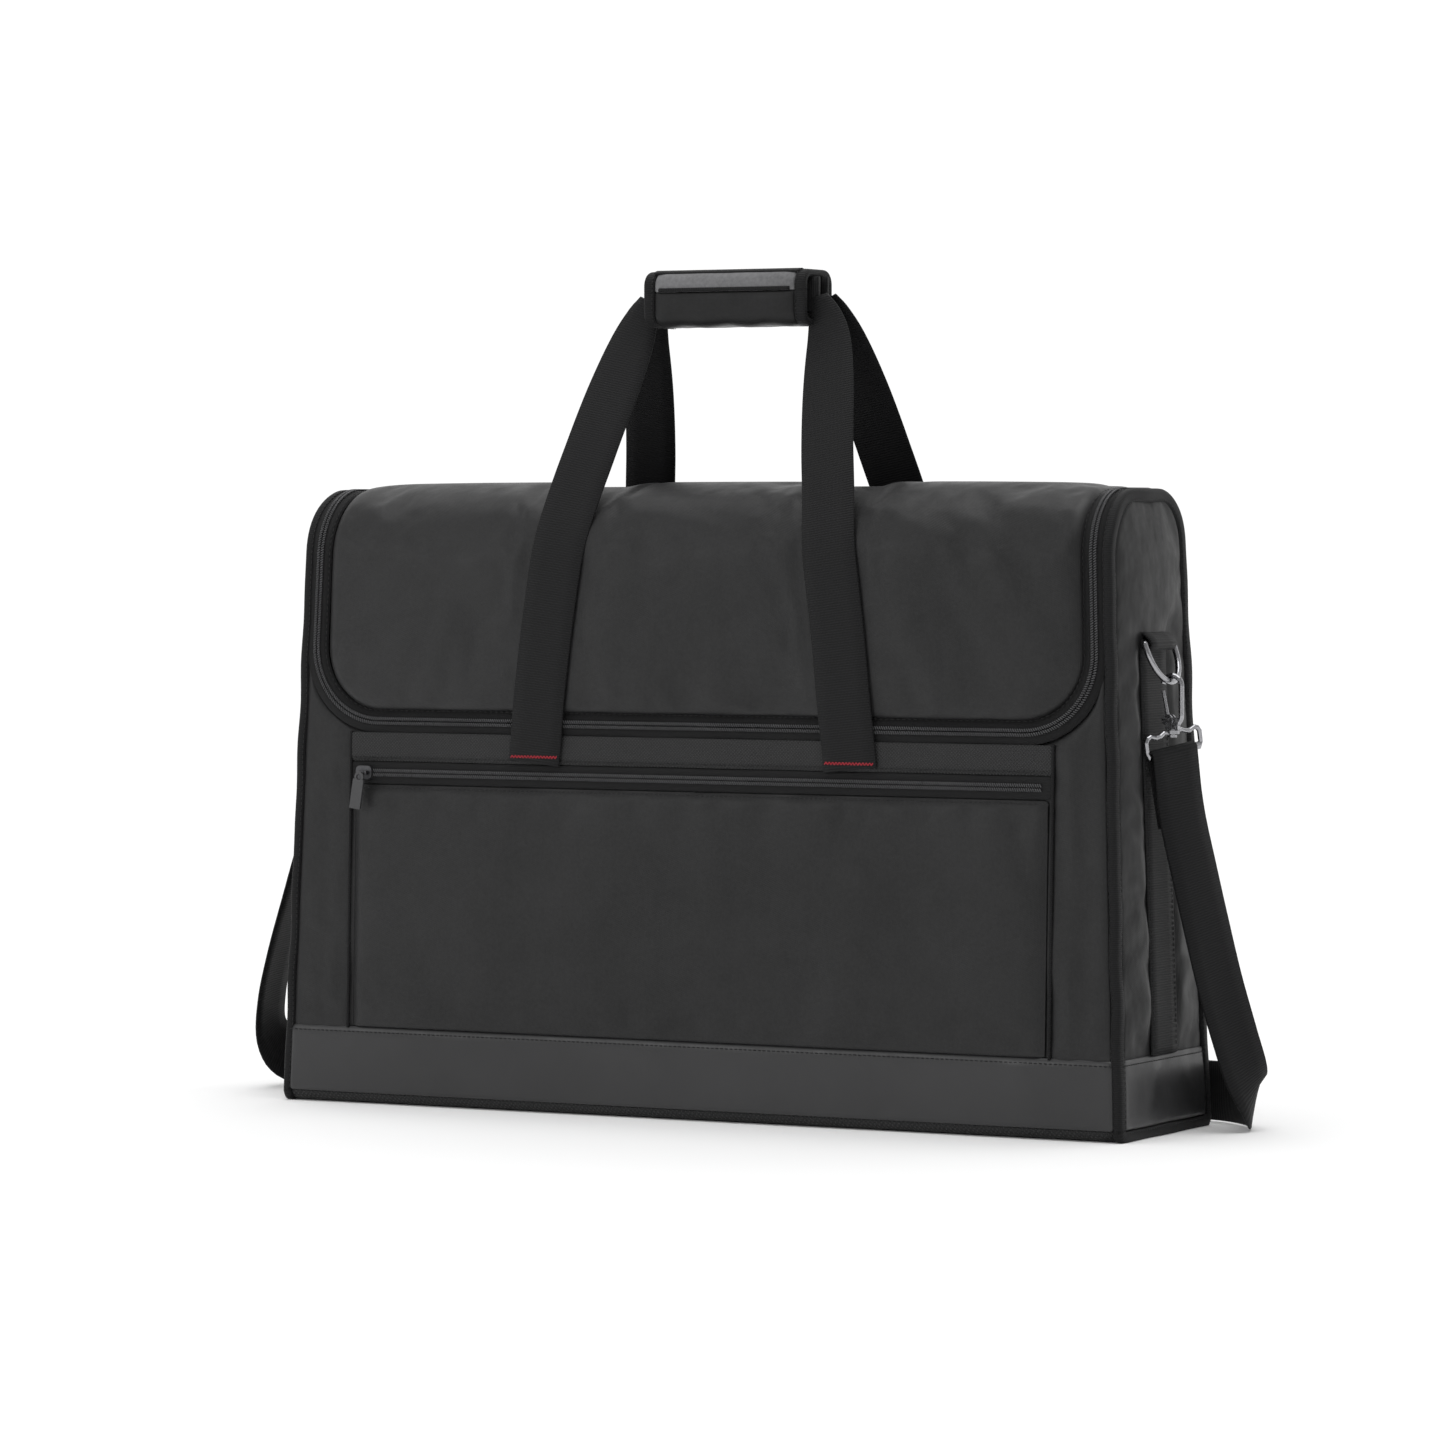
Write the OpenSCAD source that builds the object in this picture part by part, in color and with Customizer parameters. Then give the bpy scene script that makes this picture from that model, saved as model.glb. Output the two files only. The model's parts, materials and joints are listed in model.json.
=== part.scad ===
// Padded carry bag with a zipped lid, paired carry handles and a detachable shoulder strap.
// Millimetres. +X runs along the bag, -Y is the front, +Z is up.
// The origin is on the floor, below the centre of the bag.

/* [Bag] */
// Length over the edge bindings at the base
bag_length = 610; // [500:5:740]
// Depth of the base, panel face to panel face
bag_depth = 136; // [120:2:168]
// Height of the bag body
bag_height = 402; // [334:2:440]
// How far each end leans in over the height
end_lean = 14; // [0:1:20]
// How far the front leans back over the height
front_lean = 11; // [0:1:16]
// How far the back leans forward over the height
back_lean = 15; // [0:1:20]
// Radius of the top front edge
front_arch = 42; // [34:1:46]
// Radius of the top rear edge
rear_arch = 34; // [28:1:38]
// Height of the smooth base band
band_height = 50; // [40:1:60]

/* [Layers] */
// Thickness of the shell fabric
skin_t = 1.6; // [1.2:0.1:2.4]
// Thickness of the padding foam
foam_t = 5.4; // [4:0.2:8]
// Thickness of the inner lining
lining_t = 0.8; // [0.6:0.1:1.2]
// Thickness of the stiff board in the base
board_t = 3; // [2:0.5:4]
// Width of the edge binding along the end, in X
binding_w = 6; // [5:0.5:8]
// How far the binding stands proud of the panels
binding_proud = 2; // [1:0.5:3]

/* [Lid] */
// Height of the closed zip line above the floor at the front
zip_z = 252; // [240:2:268]
// Distance of the zip line from the end edge
zip_side = 12; // [11.5:0.5:16]
// Corner radius of the zip line
zip_corner = 50; // [40:1:60]
// Width of the zip tape on each side
tape_w = 7; // [5.5:0.5:8]
// Half gap between the two rows of teeth
zip_gap = 0.5; // [0.4:0.1:0.8]
// Width of one row of teeth
teeth_w = 3; // [2:0.5:3.5]
// Height of the teeth above the tape
teeth_h = 1.4; // [1:0.1:2]
// Place of the lid hinge on the rear arch, in degrees from the top
hinge_at = 70; // [60:1:80]

/* [Front pocket] */
// Length of the pocket
pocket_length = 510; // [420:10:520]
// Height of the pocket zip above the floor
pocket_zip_z = 218; // [200:2:222]
// Thickness of the pocket layers
pocket_t = 1.6; // [1.2:0.1:2.4]
// Slider body width across the zip
slider_w = 9; // [7:0.5:9.5]
// Slider body length
slider_l = 12; // [10:0.5:14]
// Length of the pull tab
pull_l = 24; // [18:1:30]
// Width of the pull tab
pull_w = 8; // [6:0.5:10]

/* [Handles] */
// Width of the webbing
webbing_w = 38; // [31:1:42]
// Thickness of the webbing
webbing_t = 2; // [1.6:0.1:2.4]
// Half distance between the feet of a handle
foot_x = 115; // [100:1:130]
// Height of the handle feet
foot_z = 227; // [227:1:232]
// Length of the grip
grip_length = 118; // [100:2:130]
// Depth of the grip, front to back
grip_depth = 38; // [36:1:44]
// Height of the grip section
grip_height = 35; // [33:1:40]
// Height of the underside of the grip above the top of the bag
grip_lift = 107; // [98:1:128]
// Height of the crease where the grip's flap starts, above its underside
crease_height = 23; // [20:0.5:24]
// Thickness of the grip padding
grip_t = 4.5; // [3:0.5:5]

/* [Strap hardware] */
// Wire radius of the side ring
ring_wire = 1.9; // [1.5:0.1:2.4]
// Height of the ring bar
ring_z = 307; // [280:1:310]
// Tilt of the hanging ring away from the end, in degrees
ring_tilt = 20; // [18:1:26]
// Wire radius of the snap hook
hook_wire = 1.7; // [1.4:0.1:2]
// Half width of the snap hook eye
hook_eye = 6.2; // [5.8:0.2:7]
// Turn of the strap frame about the swivel, in degrees from the length of the bag
swivel_turn = 66; // [50:1:80]
// Tilt of the strap frame, in degrees
frame_tilt = 9; // [0:1:12]
// Inner width of the strap frame
frame_w = 42; // [40:1:46]

/* [Hidden] */
$fn = 48;
eps = 0.01;
far = 900;               // longer than any panel
arc_steps = 9;
foam_in = skin_t + foam_t;
liner_in = foam_in + lining_t;
base_top = foam_in + 2;  // the wall foam and the bands start above the round of the base
end_inset = 1.5;         // end panels lie this far inside the face of their binding
clearance = 0.4;         // between bodies that move past each other
base_corner = 8;         // radius of the bottom long edges

// Unit vector and 2D helpers
function unit(v) = v / norm(v);
function left_of(v) = [-v[1], v[0]];
function cross2(a, b) = a[0] * b[1] - a[1] * b[0];
// Point where the lines p + s*u and q + t*v cross
function crossing(p, u, q, v) = p + u * cross2(q - p, v) / cross2(u, v);
// Corners of an anticlockwise outline moved inwards by d
function inset(pts, d) = [for (i = [0:len(pts) - 1])
    let (n = len(pts), a = pts[(i + n - 1) % n], b = pts[i], c = pts[(i + 1) % n],
         u = unit(b - a), v = unit(c - b))
    crossing(b + left_of(u) * d, u, b + left_of(v) * d, v)];
// One rounded corner at b, between a and c, as arc points
function corner(a, b, c, r) =
    let (u = unit(a - b), v = unit(c - b), half = acos(u * v) / 2,
         m = b + unit(u + v) * (r / sin(half)), t = r / tan(half),
         p = b + u * t - m, q = b + v * t - m, turn = acos(max(-1, min(1, unit(p) * unit(q)))),
         side = cross2(p, q) > 0 ? 1 : -1)
    [for (k = [0:arc_steps]) let (w = side * turn * k / arc_steps)
        m + [p[0] * cos(w) - p[1] * sin(w), p[0] * sin(w) + p[1] * cos(w)]];
// Outline with each corner rounded by its own radius; a radius of 0 stays sharp
function rounded(pts, radii) = [for (i = [0:len(pts) - 1])
    let (n = len(pts))
    each (radii[i] <= 0 ? [pts[i]]
        : corner(pts[(i + n - 1) % n], pts[i], pts[(i + 1) % n], radii[i]))];

// Bag side outline in (y, z) and its lines
side_corners = [[-bag_depth / 2, 0], [bag_depth / 2, 0],
    [bag_depth / 2 - back_lean, bag_height], [-bag_depth / 2 + front_lean, bag_height]];
side_radii = [base_corner, base_corner, rear_arch, front_arch];
front_slope = front_lean / bag_height;
back_slope = back_lean / bag_height;
end_slope = end_lean / bag_height;
front_tilt = atan(front_slope);
function front_y(z, out = 0) = -bag_depth / 2 + front_slope * z - out / cos(front_tilt);
function back_y(z, out = 0) = bag_depth / 2 - back_slope * z + out / cos(atan(back_slope));
function half_length(z) = bag_length / 2 - end_slope * z;
function mid_y(z) = (front_y(z) + back_y(z)) / 2;
// Centre of the rear arch
rear_centre = let (c = inset(side_corners, rear_arch)) c[2];
front_centre = let (c = inset(side_corners, front_arch)) c[3];
function on_rear_arch(a, out = 0) = rear_centre + (rear_arch + out) * [sin(a), cos(a)];

// Side outline inset by d, as a flat shape
module side_shape(d) {
    polygon(rounded(inset(side_corners, d), [for (r = side_radii) max(r - d, 0.4)]));
}
// Stands a (y, z) shape up and extrudes it along X between two places
module along_x(x0, x1) {
    translate([x0, 0, 0]) rotate([90, 0, 90]) linear_extrude(x1 - x0) children();
}
// Extrudes an (x, z) shape along Y between two places
module along_y(y0, y1) {
    translate([0, y1, 0]) rotate([90, 0, 0]) linear_extrude(y1 - y0) children();
}
// Solid between the side outline inset by d0 and by d1, full length
module wall(d0, d1) {
    along_x(-bag_length, bag_length) difference() {
        side_shape(d0);
        side_shape(d1);
    }
}
// Everything that lies inside both leaning ends, d in from the end edges
module between_ends(d) {
    along_y(-far, far) polygon([[-half_length(-50) + d, -50], [half_length(-50) - d, -50],
        [half_length(600) - d, 600], [-half_length(600) + d, 600]]);
}
// Slab that follows one leaning end, from d0 to d1 in from the end edge
module end_slab(s, d0, d1, z0 = -50, z1 = 600) {
    along_y(-far, far) polygon([[s * (half_length(z0) - d1), z0], [s * (half_length(z0) - d0), z0],
        [s * (half_length(z1) - d0), z1], [s * (half_length(z1) - d1), z1]]);
}
// Prism through the bag inside the zip line, moved in by d
module lid_prism(d) {
    along_y(-far, far) polygon(rounded(
        [[-half_length(zip_z) + zip_side + d, zip_z + d], [half_length(zip_z) - zip_side - d, zip_z + d],
         [half_length(600) - zip_side - d, 600], [-half_length(600) + zip_side + d, 600]],
        [zip_corner - d, zip_corner - d, 0, 0]));
}
// Direction out of the rear arch at the hinge, and along its surface towards the back
hinge_out = [sin(hinge_at), cos(hinge_at)];
hinge_along = [cos(hinge_at), -sin(hinge_at)];
// Everything from the base up the front and over the top to the hinge, less a gap g at the hinge
module front_zone(g = 0) {
    start = rear_centre - g * hinge_along;
    along_x(-far, far) polygon([start, start + far * hinge_out, [-far, far * 2], [-far, -50], [0, -50]]);
}
// Everything behind the hinge, down the back to the base
module rear_zone() {
    along_x(-far, far) polygon([rear_centre, [0, -50], [far, -50], rear_centre + far * hinge_out]);
}
module slice_z(z0, z1) {
    translate([-far, -far, z0]) cube([2 * far, 2 * far, z1 - z0]);
}
module front_half() {
    translate([-far, -far, -50]) cube([2 * far, far, far]);
}

// ---------- fixed panels ----------
module front_panel() color("#303032") difference() {
    intersection() {
        wall(0, skin_t);
        between_ends(binding_w);
        slice_z(band_height, far);
        front_zone();
    }
    lid_prism(-tape_w);
}
module back_panel() color("#2c2c2e") intersection() {
    wall(0, skin_t);
    between_ends(binding_w);
    slice_z(band_height, far);
    rear_zone();
}
module base_panel() color("#202022") intersection() {
    wall(0, skin_t);
    between_ends(binding_w);
    slice_z(-1, base_top);
}
module end_panel(s) color("#38383a") intersection() {
    end_slab(s, end_inset, end_inset + skin_t);
    along_x(-far, far) side_shape(foam_in);
    slice_z(band_height, far);
}
module end_band(s) color("#4a4a4c") intersection() {
    end_slab(s, end_inset, end_inset + skin_t);
    along_x(-far, far) side_shape(foam_in);
    slice_z(0, band_height);
}
module binding(s) color("#1f1f21") intersection() {
    end_slab(s, 0, binding_w);
    along_x(-far, far) difference() {
        intersection() {
            side_shape(-binding_proud);
            translate([-far, 0]) square([2 * far, far]);
        }
        side_shape(foam_in);
    }
}
module base_band(rear) color("#4a4a4c") intersection() {
    wall(0, skin_t);
    between_ends(binding_w);
    slice_z(base_top, band_height);
    translate([-far, rear ? 0 : -far, 0]) cube([2 * far, far, far]);
}
module wall_foam() {
    intersection() {
        wall(skin_t, foam_in);
        between_ends(binding_w);
        slice_z(base_top, far);
        children();
    }
}
module front_foam() color("#8c8c90") difference() {
    wall_foam() front_zone();
    lid_prism(-tape_w);
}
module back_foam() color("#8c8c90") wall_foam() rear_zone();
module end_foam(s) color("#8c8c90") intersection() {
    end_slab(s, end_inset + skin_t, end_inset + foam_in);
    along_x(-far, far) side_shape(foam_in);
}
module base_layer(z0, z1) {
    intersection() {
        wall(skin_t, foam_in);
        between_ends(binding_w);
        slice_z(z0, z1);
    }
}
module base_board() color("#6b5a45") base_layer(0, skin_t + board_t);
module base_foam() color("#8c8c90") base_layer(skin_t + board_t, base_top);
// Closed inner shell of lining, before the lid is cut out of it
module lining_shell() {
    difference() {
        intersection() {
            along_x(-far, far) side_shape(foam_in);
            between_ends(end_inset + foam_in);
        }
        intersection() {
            along_x(-far, far) side_shape(liner_in);
            between_ends(end_inset + liner_in);
        }
    }
}
module body_lining() color("#5c5c60") difference() {
    lining_shell();
    intersection() {
        lid_prism(-tape_w);
        front_zone();
    }
}

// ---------- lid ----------
// Strip of wall along the zip line between two distances from it, in the lid's region
module zip_strip(d0, d1, out0, out1) {
    intersection() {
        difference() {
            wall(out0, out1);
            lid_prism(d1);
        }
        lid_prism(d0);
        between_ends(binding_w);
        front_zone(1);
    }
}
module body_zip_tape() color("#262628") {
    zip_strip(-tape_w, -zip_gap, 0.2, 1.2);
    zip_strip(-teeth_w - zip_gap, -zip_gap, -teeth_h, 0.2);
}
module lid_zip_tape() color("#262628") {
    zip_strip(zip_gap, tape_w, 0.2, 1.2);
    zip_strip(zip_gap, teeth_w + zip_gap, -teeth_h, 0.2);
}
module lid_layer(d0, d1, edge, g) {
    intersection() {
        wall(d0, d1);
        lid_prism(edge);
        front_zone(g);
    }
}
module lid_panel() color("#333335") lid_layer(0, skin_t, tape_w, 0.2);
module lid_foam() color("#8c8c90") lid_layer(skin_t, foam_in, tape_w, clearance);
module lid_lining() color("#5c5c60") intersection() {
    lining_shell();
    lid_prism(tape_w);
    front_zone(clearance);
}

// ---------- zip slider and pull, on a zip that runs along X, with the outside towards -Y ----------
bridge_h = 3.2;
pull_eye = 2.9;          // centre of the pull's eye below its pivot
module slider_body(w, l) {
    rounding = w / 3;
    plate = [[-l / 2, -w / 2], [l / 2, -w / 2], [l / 2, w / 2], [-l / 2, w / 2]];
    rotate([90, 0, 0]) {
        linear_extrude(1.4) polygon(rounded(plate, [rounding, rounding, rounding, rounding]));
        for (s = [-1, 1]) translate([s * (l / 2 - 3), 0, 1.4])
            translate([-0.8, -1.2, -eps]) cube([1.6, 2.4, bridge_h]);
        translate([-l / 2 + 2.2, -1.2, 1.4 + bridge_h - 1.2]) cube([l - 4.4, 2.4, 1.2]);
    }
}
// Pull tab hanging from a ring round the bridge; w runs along X, the length runs down
module pull_tab(w, l) {
    rotate([90, 0, 0]) {
        difference() {
            union() {
                translate([0, -pull_eye, -0.7]) cylinder(r = 3.4, h = 1.4);
                translate([-w / 2, -l, -1]) cube([w, l - 4.5, 2]);
            }
            translate([0, -pull_eye, -2]) cylinder(r = 1.9, h = 4);
        }
    }
}
pocket_slider_x = -pocket_length / 2 + 12;
module at_pocket_zip(x) {
    translate([x, front_y(pocket_zip_z, pocket_t + teeth_h + clearance), pocket_zip_z])
        rotate([front_tilt * -1, 0, 0]) children();
}
module pocket_slider() color("#5a5a5e") at_pocket_zip(pocket_slider_x) slider_body(slider_w, slider_l);
pull_out = 1.4 + bridge_h + 1.5;
module pocket_pull() color("#5e5e62") at_pocket_zip(pocket_slider_x)
    translate([0, -pull_out, 0]) rotate([0, 8, 0]) pull_tab(pull_w, pull_l);

lid_slider_at = 32;      // degrees round the rear arch from the top
lid_pull_l = 15;
lid_slider_x = -half_length(bag_height - 10) + zip_side;
// Place on the lid zip at an angle round the rear arch, with -Y outwards
module at_lid_zip(a, out) {
    translate([lid_slider_x, on_rear_arch(a, out)[0], on_rear_arch(a, out)[1]])
        rotate([-90 - a, 0, 0]) children();
}
module lid_slider() color("#5a5a5e") at_lid_zip(lid_slider_at, teeth_h + clearance)
    rotate([0, 90, 0]) slider_body(slider_w, slider_l);
module lid_pull() color("#5e5e62") at_lid_zip(lid_slider_at + 3, teeth_h + clearance + pull_out)
    rotate([28, 180, 0]) pull_tab(pull_w - 1, lid_pull_l + 4);

// ---------- front pocket ----------
pocket_top = pocket_zip_z - 7;
facing_bottom = pocket_zip_z + 8;
facing_top = zip_z - tape_w - 0.5;
module pocket_layer(out, z0, z1, length) {
    intersection() {
        difference() {
            along_x(-length / 2, length / 2) side_shape(-out);
            along_x(-far, far) side_shape(0);
        }
        front_half();
        slice_z(z0, z1);
    }
}
module pocket_panel() color("#343436") pocket_layer(pocket_t, band_height, pocket_top, pocket_length);
module pocket_facing() color("#2a2a2c")
    pocket_layer(pocket_t, facing_bottom, facing_top, pocket_length);
module pocket_zip_tape() color("#262628") {
    pocket_layer(pocket_t - 0.4, pocket_top, facing_bottom, pocket_length);
    difference() {
        pocket_layer(pocket_t + teeth_h, pocket_zip_z - teeth_w, pocket_zip_z + teeth_w, pocket_length - 16);
        along_x(-far, far) side_shape(-pocket_t + 0.4);
    }
}
piping_w = 4;
module pocket_piping() color("#2a2a2c") for (s = [-1, 1]) intersection() {
    pocket_layer(pocket_t + 0.6, band_height, facing_top, pocket_length + 2 * piping_w);
    translate([s * (pocket_length + piping_w) / 2 - piping_w / 2, -far, 0]) cube([piping_w, far, far]);
}

// ---------- carry handles ----------
strap_in = pocket_t + clearance;          // gap between the bag face and a handle strap
grip_run_w = 23;                          // height of the webbing run inside the grip
grip_z = bag_height + grip_lift;          // underside of the grip
grip_mid = grip_z + grip_height / 2;
run_y = 4.2;                              // inner face of the run inside the grip
run_end = grip_length / 2 + 6;            // the run turns down into the legs just outside the grip
// Centre line of one leg of a handle, from the foot to the end of the grip, and its half widths
leg = [[foot_x, foot_z], [foot_x - 9, foot_z + 83], [foot_x - 20, grip_z - 124], [foot_x - 29, grip_z - 79],
    [foot_x - 39, grip_z - 39], [foot_x - 45, grip_z - 11], [grip_length / 2 + 8, grip_mid - 3]];
leg_half = [for (d = [0, 0, 0, 0, 1, 4, 7]) webbing_w / 2 - d];
function leg_dir(i) = unit(leg[min(i + 1, len(leg) - 1)] - leg[max(i - 1, 0)]);
function leg_edge(s) = [for (i = [0:len(leg) - 1]) leg[i] + s * leg_half[i] * left_of(leg_dir(i))];
module leg_outline() {
    outer = leg_edge(-1);
    inner = leg_edge(1);
    polygon(concat(outer, [for (i = [len(inner) - 1:-1:0]) inner[i]]));
}
// Side outline of a handle strap: up the panel, round the arch and on to the grip
function strap_line(out) = let (a = front_centre, r = front_arch + out)
    [[front_y(foot_z, out), foot_z], each [for (w = [0:4:24])
        a + r * [-cos(w), sin(w)]]];
module strap_profile() {
    inner = strap_line(strap_in);
    outer = strap_line(strap_in + webbing_t);
    top = grip_mid + grip_run_w / 2;
    low = grip_mid - grip_run_w / 2 - 4;
    polygon(concat(outer, [[-run_y - webbing_t * 2, low], [-run_y - webbing_t * 2, top]],
        [[-run_y, top], [-run_y, low]], [for (i = [len(inner) - 1:-1:0]) inner[i]]));
}
module handle_outline() {
    difference() {
        for (s = [-1, 1]) sideways(s) leg_outline();
        translate([-grip_length / 2 - clearance, grip_z - 1])
            square([grip_length + 2 * clearance, grip_mid - grip_run_w / 2 - grip_z + 1]);
    }
    translate([-run_end, grip_mid - grip_run_w / 2]) square([2 * run_end, grip_run_w]);
}
module sideways(s) {
    mirror([s < 0 ? 1 : 0, 0]) children();
}
module handle_strap() {
    intersection() {
        along_x(-far, far) strap_profile();
        along_y(-far, far) handle_outline();
    }
}
module front_handle_strap() color("#262628") handle_strap();
// The back leans more than the front, so the rear strap is the front one turned onto it
module back_handle_strap() color("#262628") intersection() {
    along_x(-far, far) back_strap_profile();
    along_y(-far, far) handle_outline();
}
function back_strap_line(out) = [[back_y(foot_z, out), foot_z], each [for (w = [0:4:20])
    rear_centre + (rear_arch + out) * [cos(w), sin(w)]]];
module back_strap_profile() {
    inner = back_strap_line(strap_in);
    outer = back_strap_line(strap_in + webbing_t);
    top = grip_mid + grip_run_w / 2;
    low = grip_mid - grip_run_w / 2 - 4;
    polygon(concat(inner, [[run_y, low], [run_y, top]],
        [[run_y + webbing_t * 2, top], [run_y + webbing_t * 2, low]],
        [for (i = [len(outer) - 1:-1:0]) outer[i]]));
}
bartack_w = 34;
module handle_bartacks() color("#b3202c") for (s = [-1, 1]) for (rear = [false, true])
    bartack(s * (foot_x - 0.5), rear);
module bartack(x, rear) {
    out = strap_in + webbing_t;
    z0 = foot_z + 1;
    y = rear ? back_y(z0, out) : front_y(z0, out) - 0.6;
    translate([x - bartack_w / 2, y, z0]) cube([bartack_w, 0.6, 2]);
}

// ---------- grip ----------
grip_corner = 9;
flap_gap = 0.4;
module grip_shape(d) {
    w = grip_depth / 2 - d;
    pts = [[-w, grip_z + d], [w, grip_z + d], [w, grip_z + grip_height - d], [-w, grip_z + grip_height - d]];
    r = max(grip_corner - d, 1);
    polygon(rounded(pts, [r, r, r, r]));
}
crease = [-grip_depth / 2 + 4, grip_z + crease_height];
// Front wall and underside of the grip, up to the crease
module wrap_zone(g = 0) {
    polygon([[-far, 0], [4, 0], [4, grip_mid], [-4, grip_mid], crease - [0, g], crease - [far, g]]);
}
module grip_half(flap, d0, d1, x0, x1) {
    along_x(x0, x1) intersection() {
        difference() {
            grip_shape(d0);
            grip_shape(d1);
        }
        if (flap) difference() {
            translate([-far, 0]) square([2 * far, far]);
            flap_cut();
        }
        if (!flap) wrap_zone();
    }
}
module flap_cut() {
    polygon([[-far, 0], [4 + flap_gap, 0], [4 + flap_gap, grip_mid], [-4, grip_mid],
        crease + [0, flap_gap], crease + [-far, flap_gap]]);
}
grip_edge = 8;           // width of the binding at the grip ends
grip_inner = grip_length / 2 - grip_edge;
module grip_wrap() color("#343436") grip_half(false, 0, grip_t, -grip_inner, grip_inner);
module grip_flap() color("#545456") grip_half(true, 0, grip_t, -grip_inner, grip_inner);
// Bindings round both ends of the grip, on its wrap or on its flap
module grip_ends(flap) {
    for (x = [-grip_length / 2, grip_inner]) grip_half(flap, -0.6, grip_t, x, x + grip_edge);
}
module grip_binding() color("#222224") grip_ends(false);
module grip_flap_binding() color("#222224") grip_ends(true);

// ---------- side webbing and ring loop ----------
webbing_out = webbing_t - end_inset;            // outer face of the side webbing beyond the end edge
module side_webbing(s) color("#29292b") intersection() {
    end_slab(s, end_inset - webbing_t, end_inset);
    translate([-far, mid_y(ring_z / 2) - webbing_w / 2, band_height])
        cube([2 * far, webbing_w, ring_z - band_height]);
}
loop_out = 4.6;                           // ring bar centre beyond the end edge
ring_x = half_length(ring_z) + loop_out;
bar_y = mid_y(ring_z);
module y_rod(r, length) {
    rotate([90, 0, 0]) cylinder(r = r, h = length, center = true);
}
loop_bore = ring_wire + clearance;        // room for the ring's bar
loop_rise = 5;                            // the folded webbing above the bar
// Fold of webbing round the ring's bar, as one (x, z) profile drawn along the bar
module ring_loop(s) color("#29292b") mirror([s < 0 ? 1 : 0, 0, 0])
    along_y(bar_y - webbing_w / 2, bar_y + webbing_w / 2) difference() {
        union() {
            translate([ring_x, ring_z]) circle(r = loop_bore + webbing_t);
            polygon([[ring_x - loop_bore - webbing_t, ring_z], [ring_x + loop_bore, ring_z],
                [half_length(ring_z + loop_rise) + webbing_out + webbing_t, ring_z + loop_rise],
                [half_length(ring_z + loop_rise), ring_z + loop_rise]]);
        }
        translate([ring_x, ring_z]) circle(r = loop_bore);
        // the side webbing and the end panel behind the loop
        polygon([[0, 0], [half_length(0) + webbing_out, 0], [half_length(far) + webbing_out, far], [0, far]]);
    }

// ---------- side ring, snap hook and strap frame ----------
ring_bow = webbing_w / 2 + ring_wire + clearance;  // radius of the ring's bow, at the wire centre
ring_leg = 4;
ring_drop = ring_bow + ring_leg;
module wire_arc(r, wire, angle) {
    rotate_extrude(angle = angle) translate([r, 0]) circle(r = wire, $fn = 24);
}
module ring(s) color("#b9bcc0") mirror([s < 0 ? 1 : 0, 0, 0])
    translate([ring_x, bar_y, ring_z]) rotate([0, -ring_tilt, 0]) {
        y_rod(ring_wire, 2 * ring_bow);
        for (t = [-1, 1]) translate([0, t * ring_bow, 0]) {
            sphere(r = ring_wire);
            translate([0, 0, -ring_leg]) cylinder(r = ring_wire, h = ring_leg);
        }
        translate([0, 0, -ring_leg]) rotate([-90, 0, 90]) wire_arc(ring_bow, ring_wire, 180);
    }
bow_x = ring_x + ring_drop * sin(ring_tilt);
bow_z = ring_z - ring_drop * cos(ring_tilt);
// Round wire that follows an open route of (x, z) points in the plane of y = 0
wire_sides = 12;
module flat_wire(route, r) {
    n = len(route);
    rings = [for (i = [0:n - 1])
        let (d = unit(route[min(i + 1, n - 1)] - route[max(i - 1, 0)]), t = [-d[1], d[0]],
             before = unit(route[max(i, 1)] - route[max(i, 1) - 1]), grow = 1 / max(0.5, before * d))
        for (k = [0:wire_sides - 1]) let (w = 360 * k / wire_sides, a = r * cos(w) * grow)
            [route[i][0] + t[0] * a, r * sin(w), route[i][1] + t[1] * a]];
    polyhedron(points = rings, faces = concat([[for (k = [wire_sides - 1:-1:0]) k]],
        [[for (k = [0:wire_sides - 1]) (n - 1) * wire_sides + k]],
        [for (i = [0:n - 2]) for (k = [0:wire_sides - 1]) for (f = [0, 1])
            let (a = i * wire_sides + k, b = i * wire_sides + (k + 1) % wire_sides,
                 c = a + wire_sides, d = b + wire_sides)
            f == 0 ? [a, b, c] : [b, d, c]]));
}
function arc(c, r, a0, a1, n) = [for (k = [0:n]) let (w = a0 + (a1 - a0) * k / n)
    [c[0] + r * cos(w), c[1] + r * sin(w)]];
// Centre of the hook's eye: the ring wire rests in the top of it
hook_x = bow_x + 0.6;
hook_z = bow_z - (hook_eye - hook_wire - ring_wire - 0.3);
rivet = [-2.2, -21.5];
rivet_r = 1.2;
gate_gap = 0.3;
base_t = 2.4;            // height of the hook's base block, under the gate
base_drop = 25 + base_t;
post_r = 1.6;
module hook_place(s) {
    mirror([s < 0 ? 1 : 0, 0, 0]) translate([hook_x, bar_y, hook_z]) children();
}
module hook(s) color("#c4c7cb") hook_place(s) {
    flat_wire(concat(arc([0, 0], hook_eye, 168, 0, 8), [[hook_eye, -9], [hook_eye, -17]],
        arc([hook_eye - 6, -19], 6, 0, -60, 4)), hook_wire);
    for (t = [-1, 1]) translate([rivet[0], t * 2.3, rivet[1]]) y_rod(3.6, 1.4);
    translate([rivet[0], 0, rivet[1]]) y_rod(rivet_r, 6);
    translate([rivet[0] - 1, -3, -base_drop]) cube([6.4, 6, base_t]);
    translate([1.1, -2.2, -base_drop]) cube([3.5, 4.4, 7.5]);
    for (t = [-1, 1]) translate([rivet[0] - 1, t * 2.3 - 0.7, -base_drop]) cube([3.4, 1.4, 8]);
    translate([0, 0, -base_drop - 4.2]) cylinder(r = post_r, h = 4.7);
    translate([0, 0, -base_drop - 5]) cylinder(r = 3, h = 1.6);
}
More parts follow.
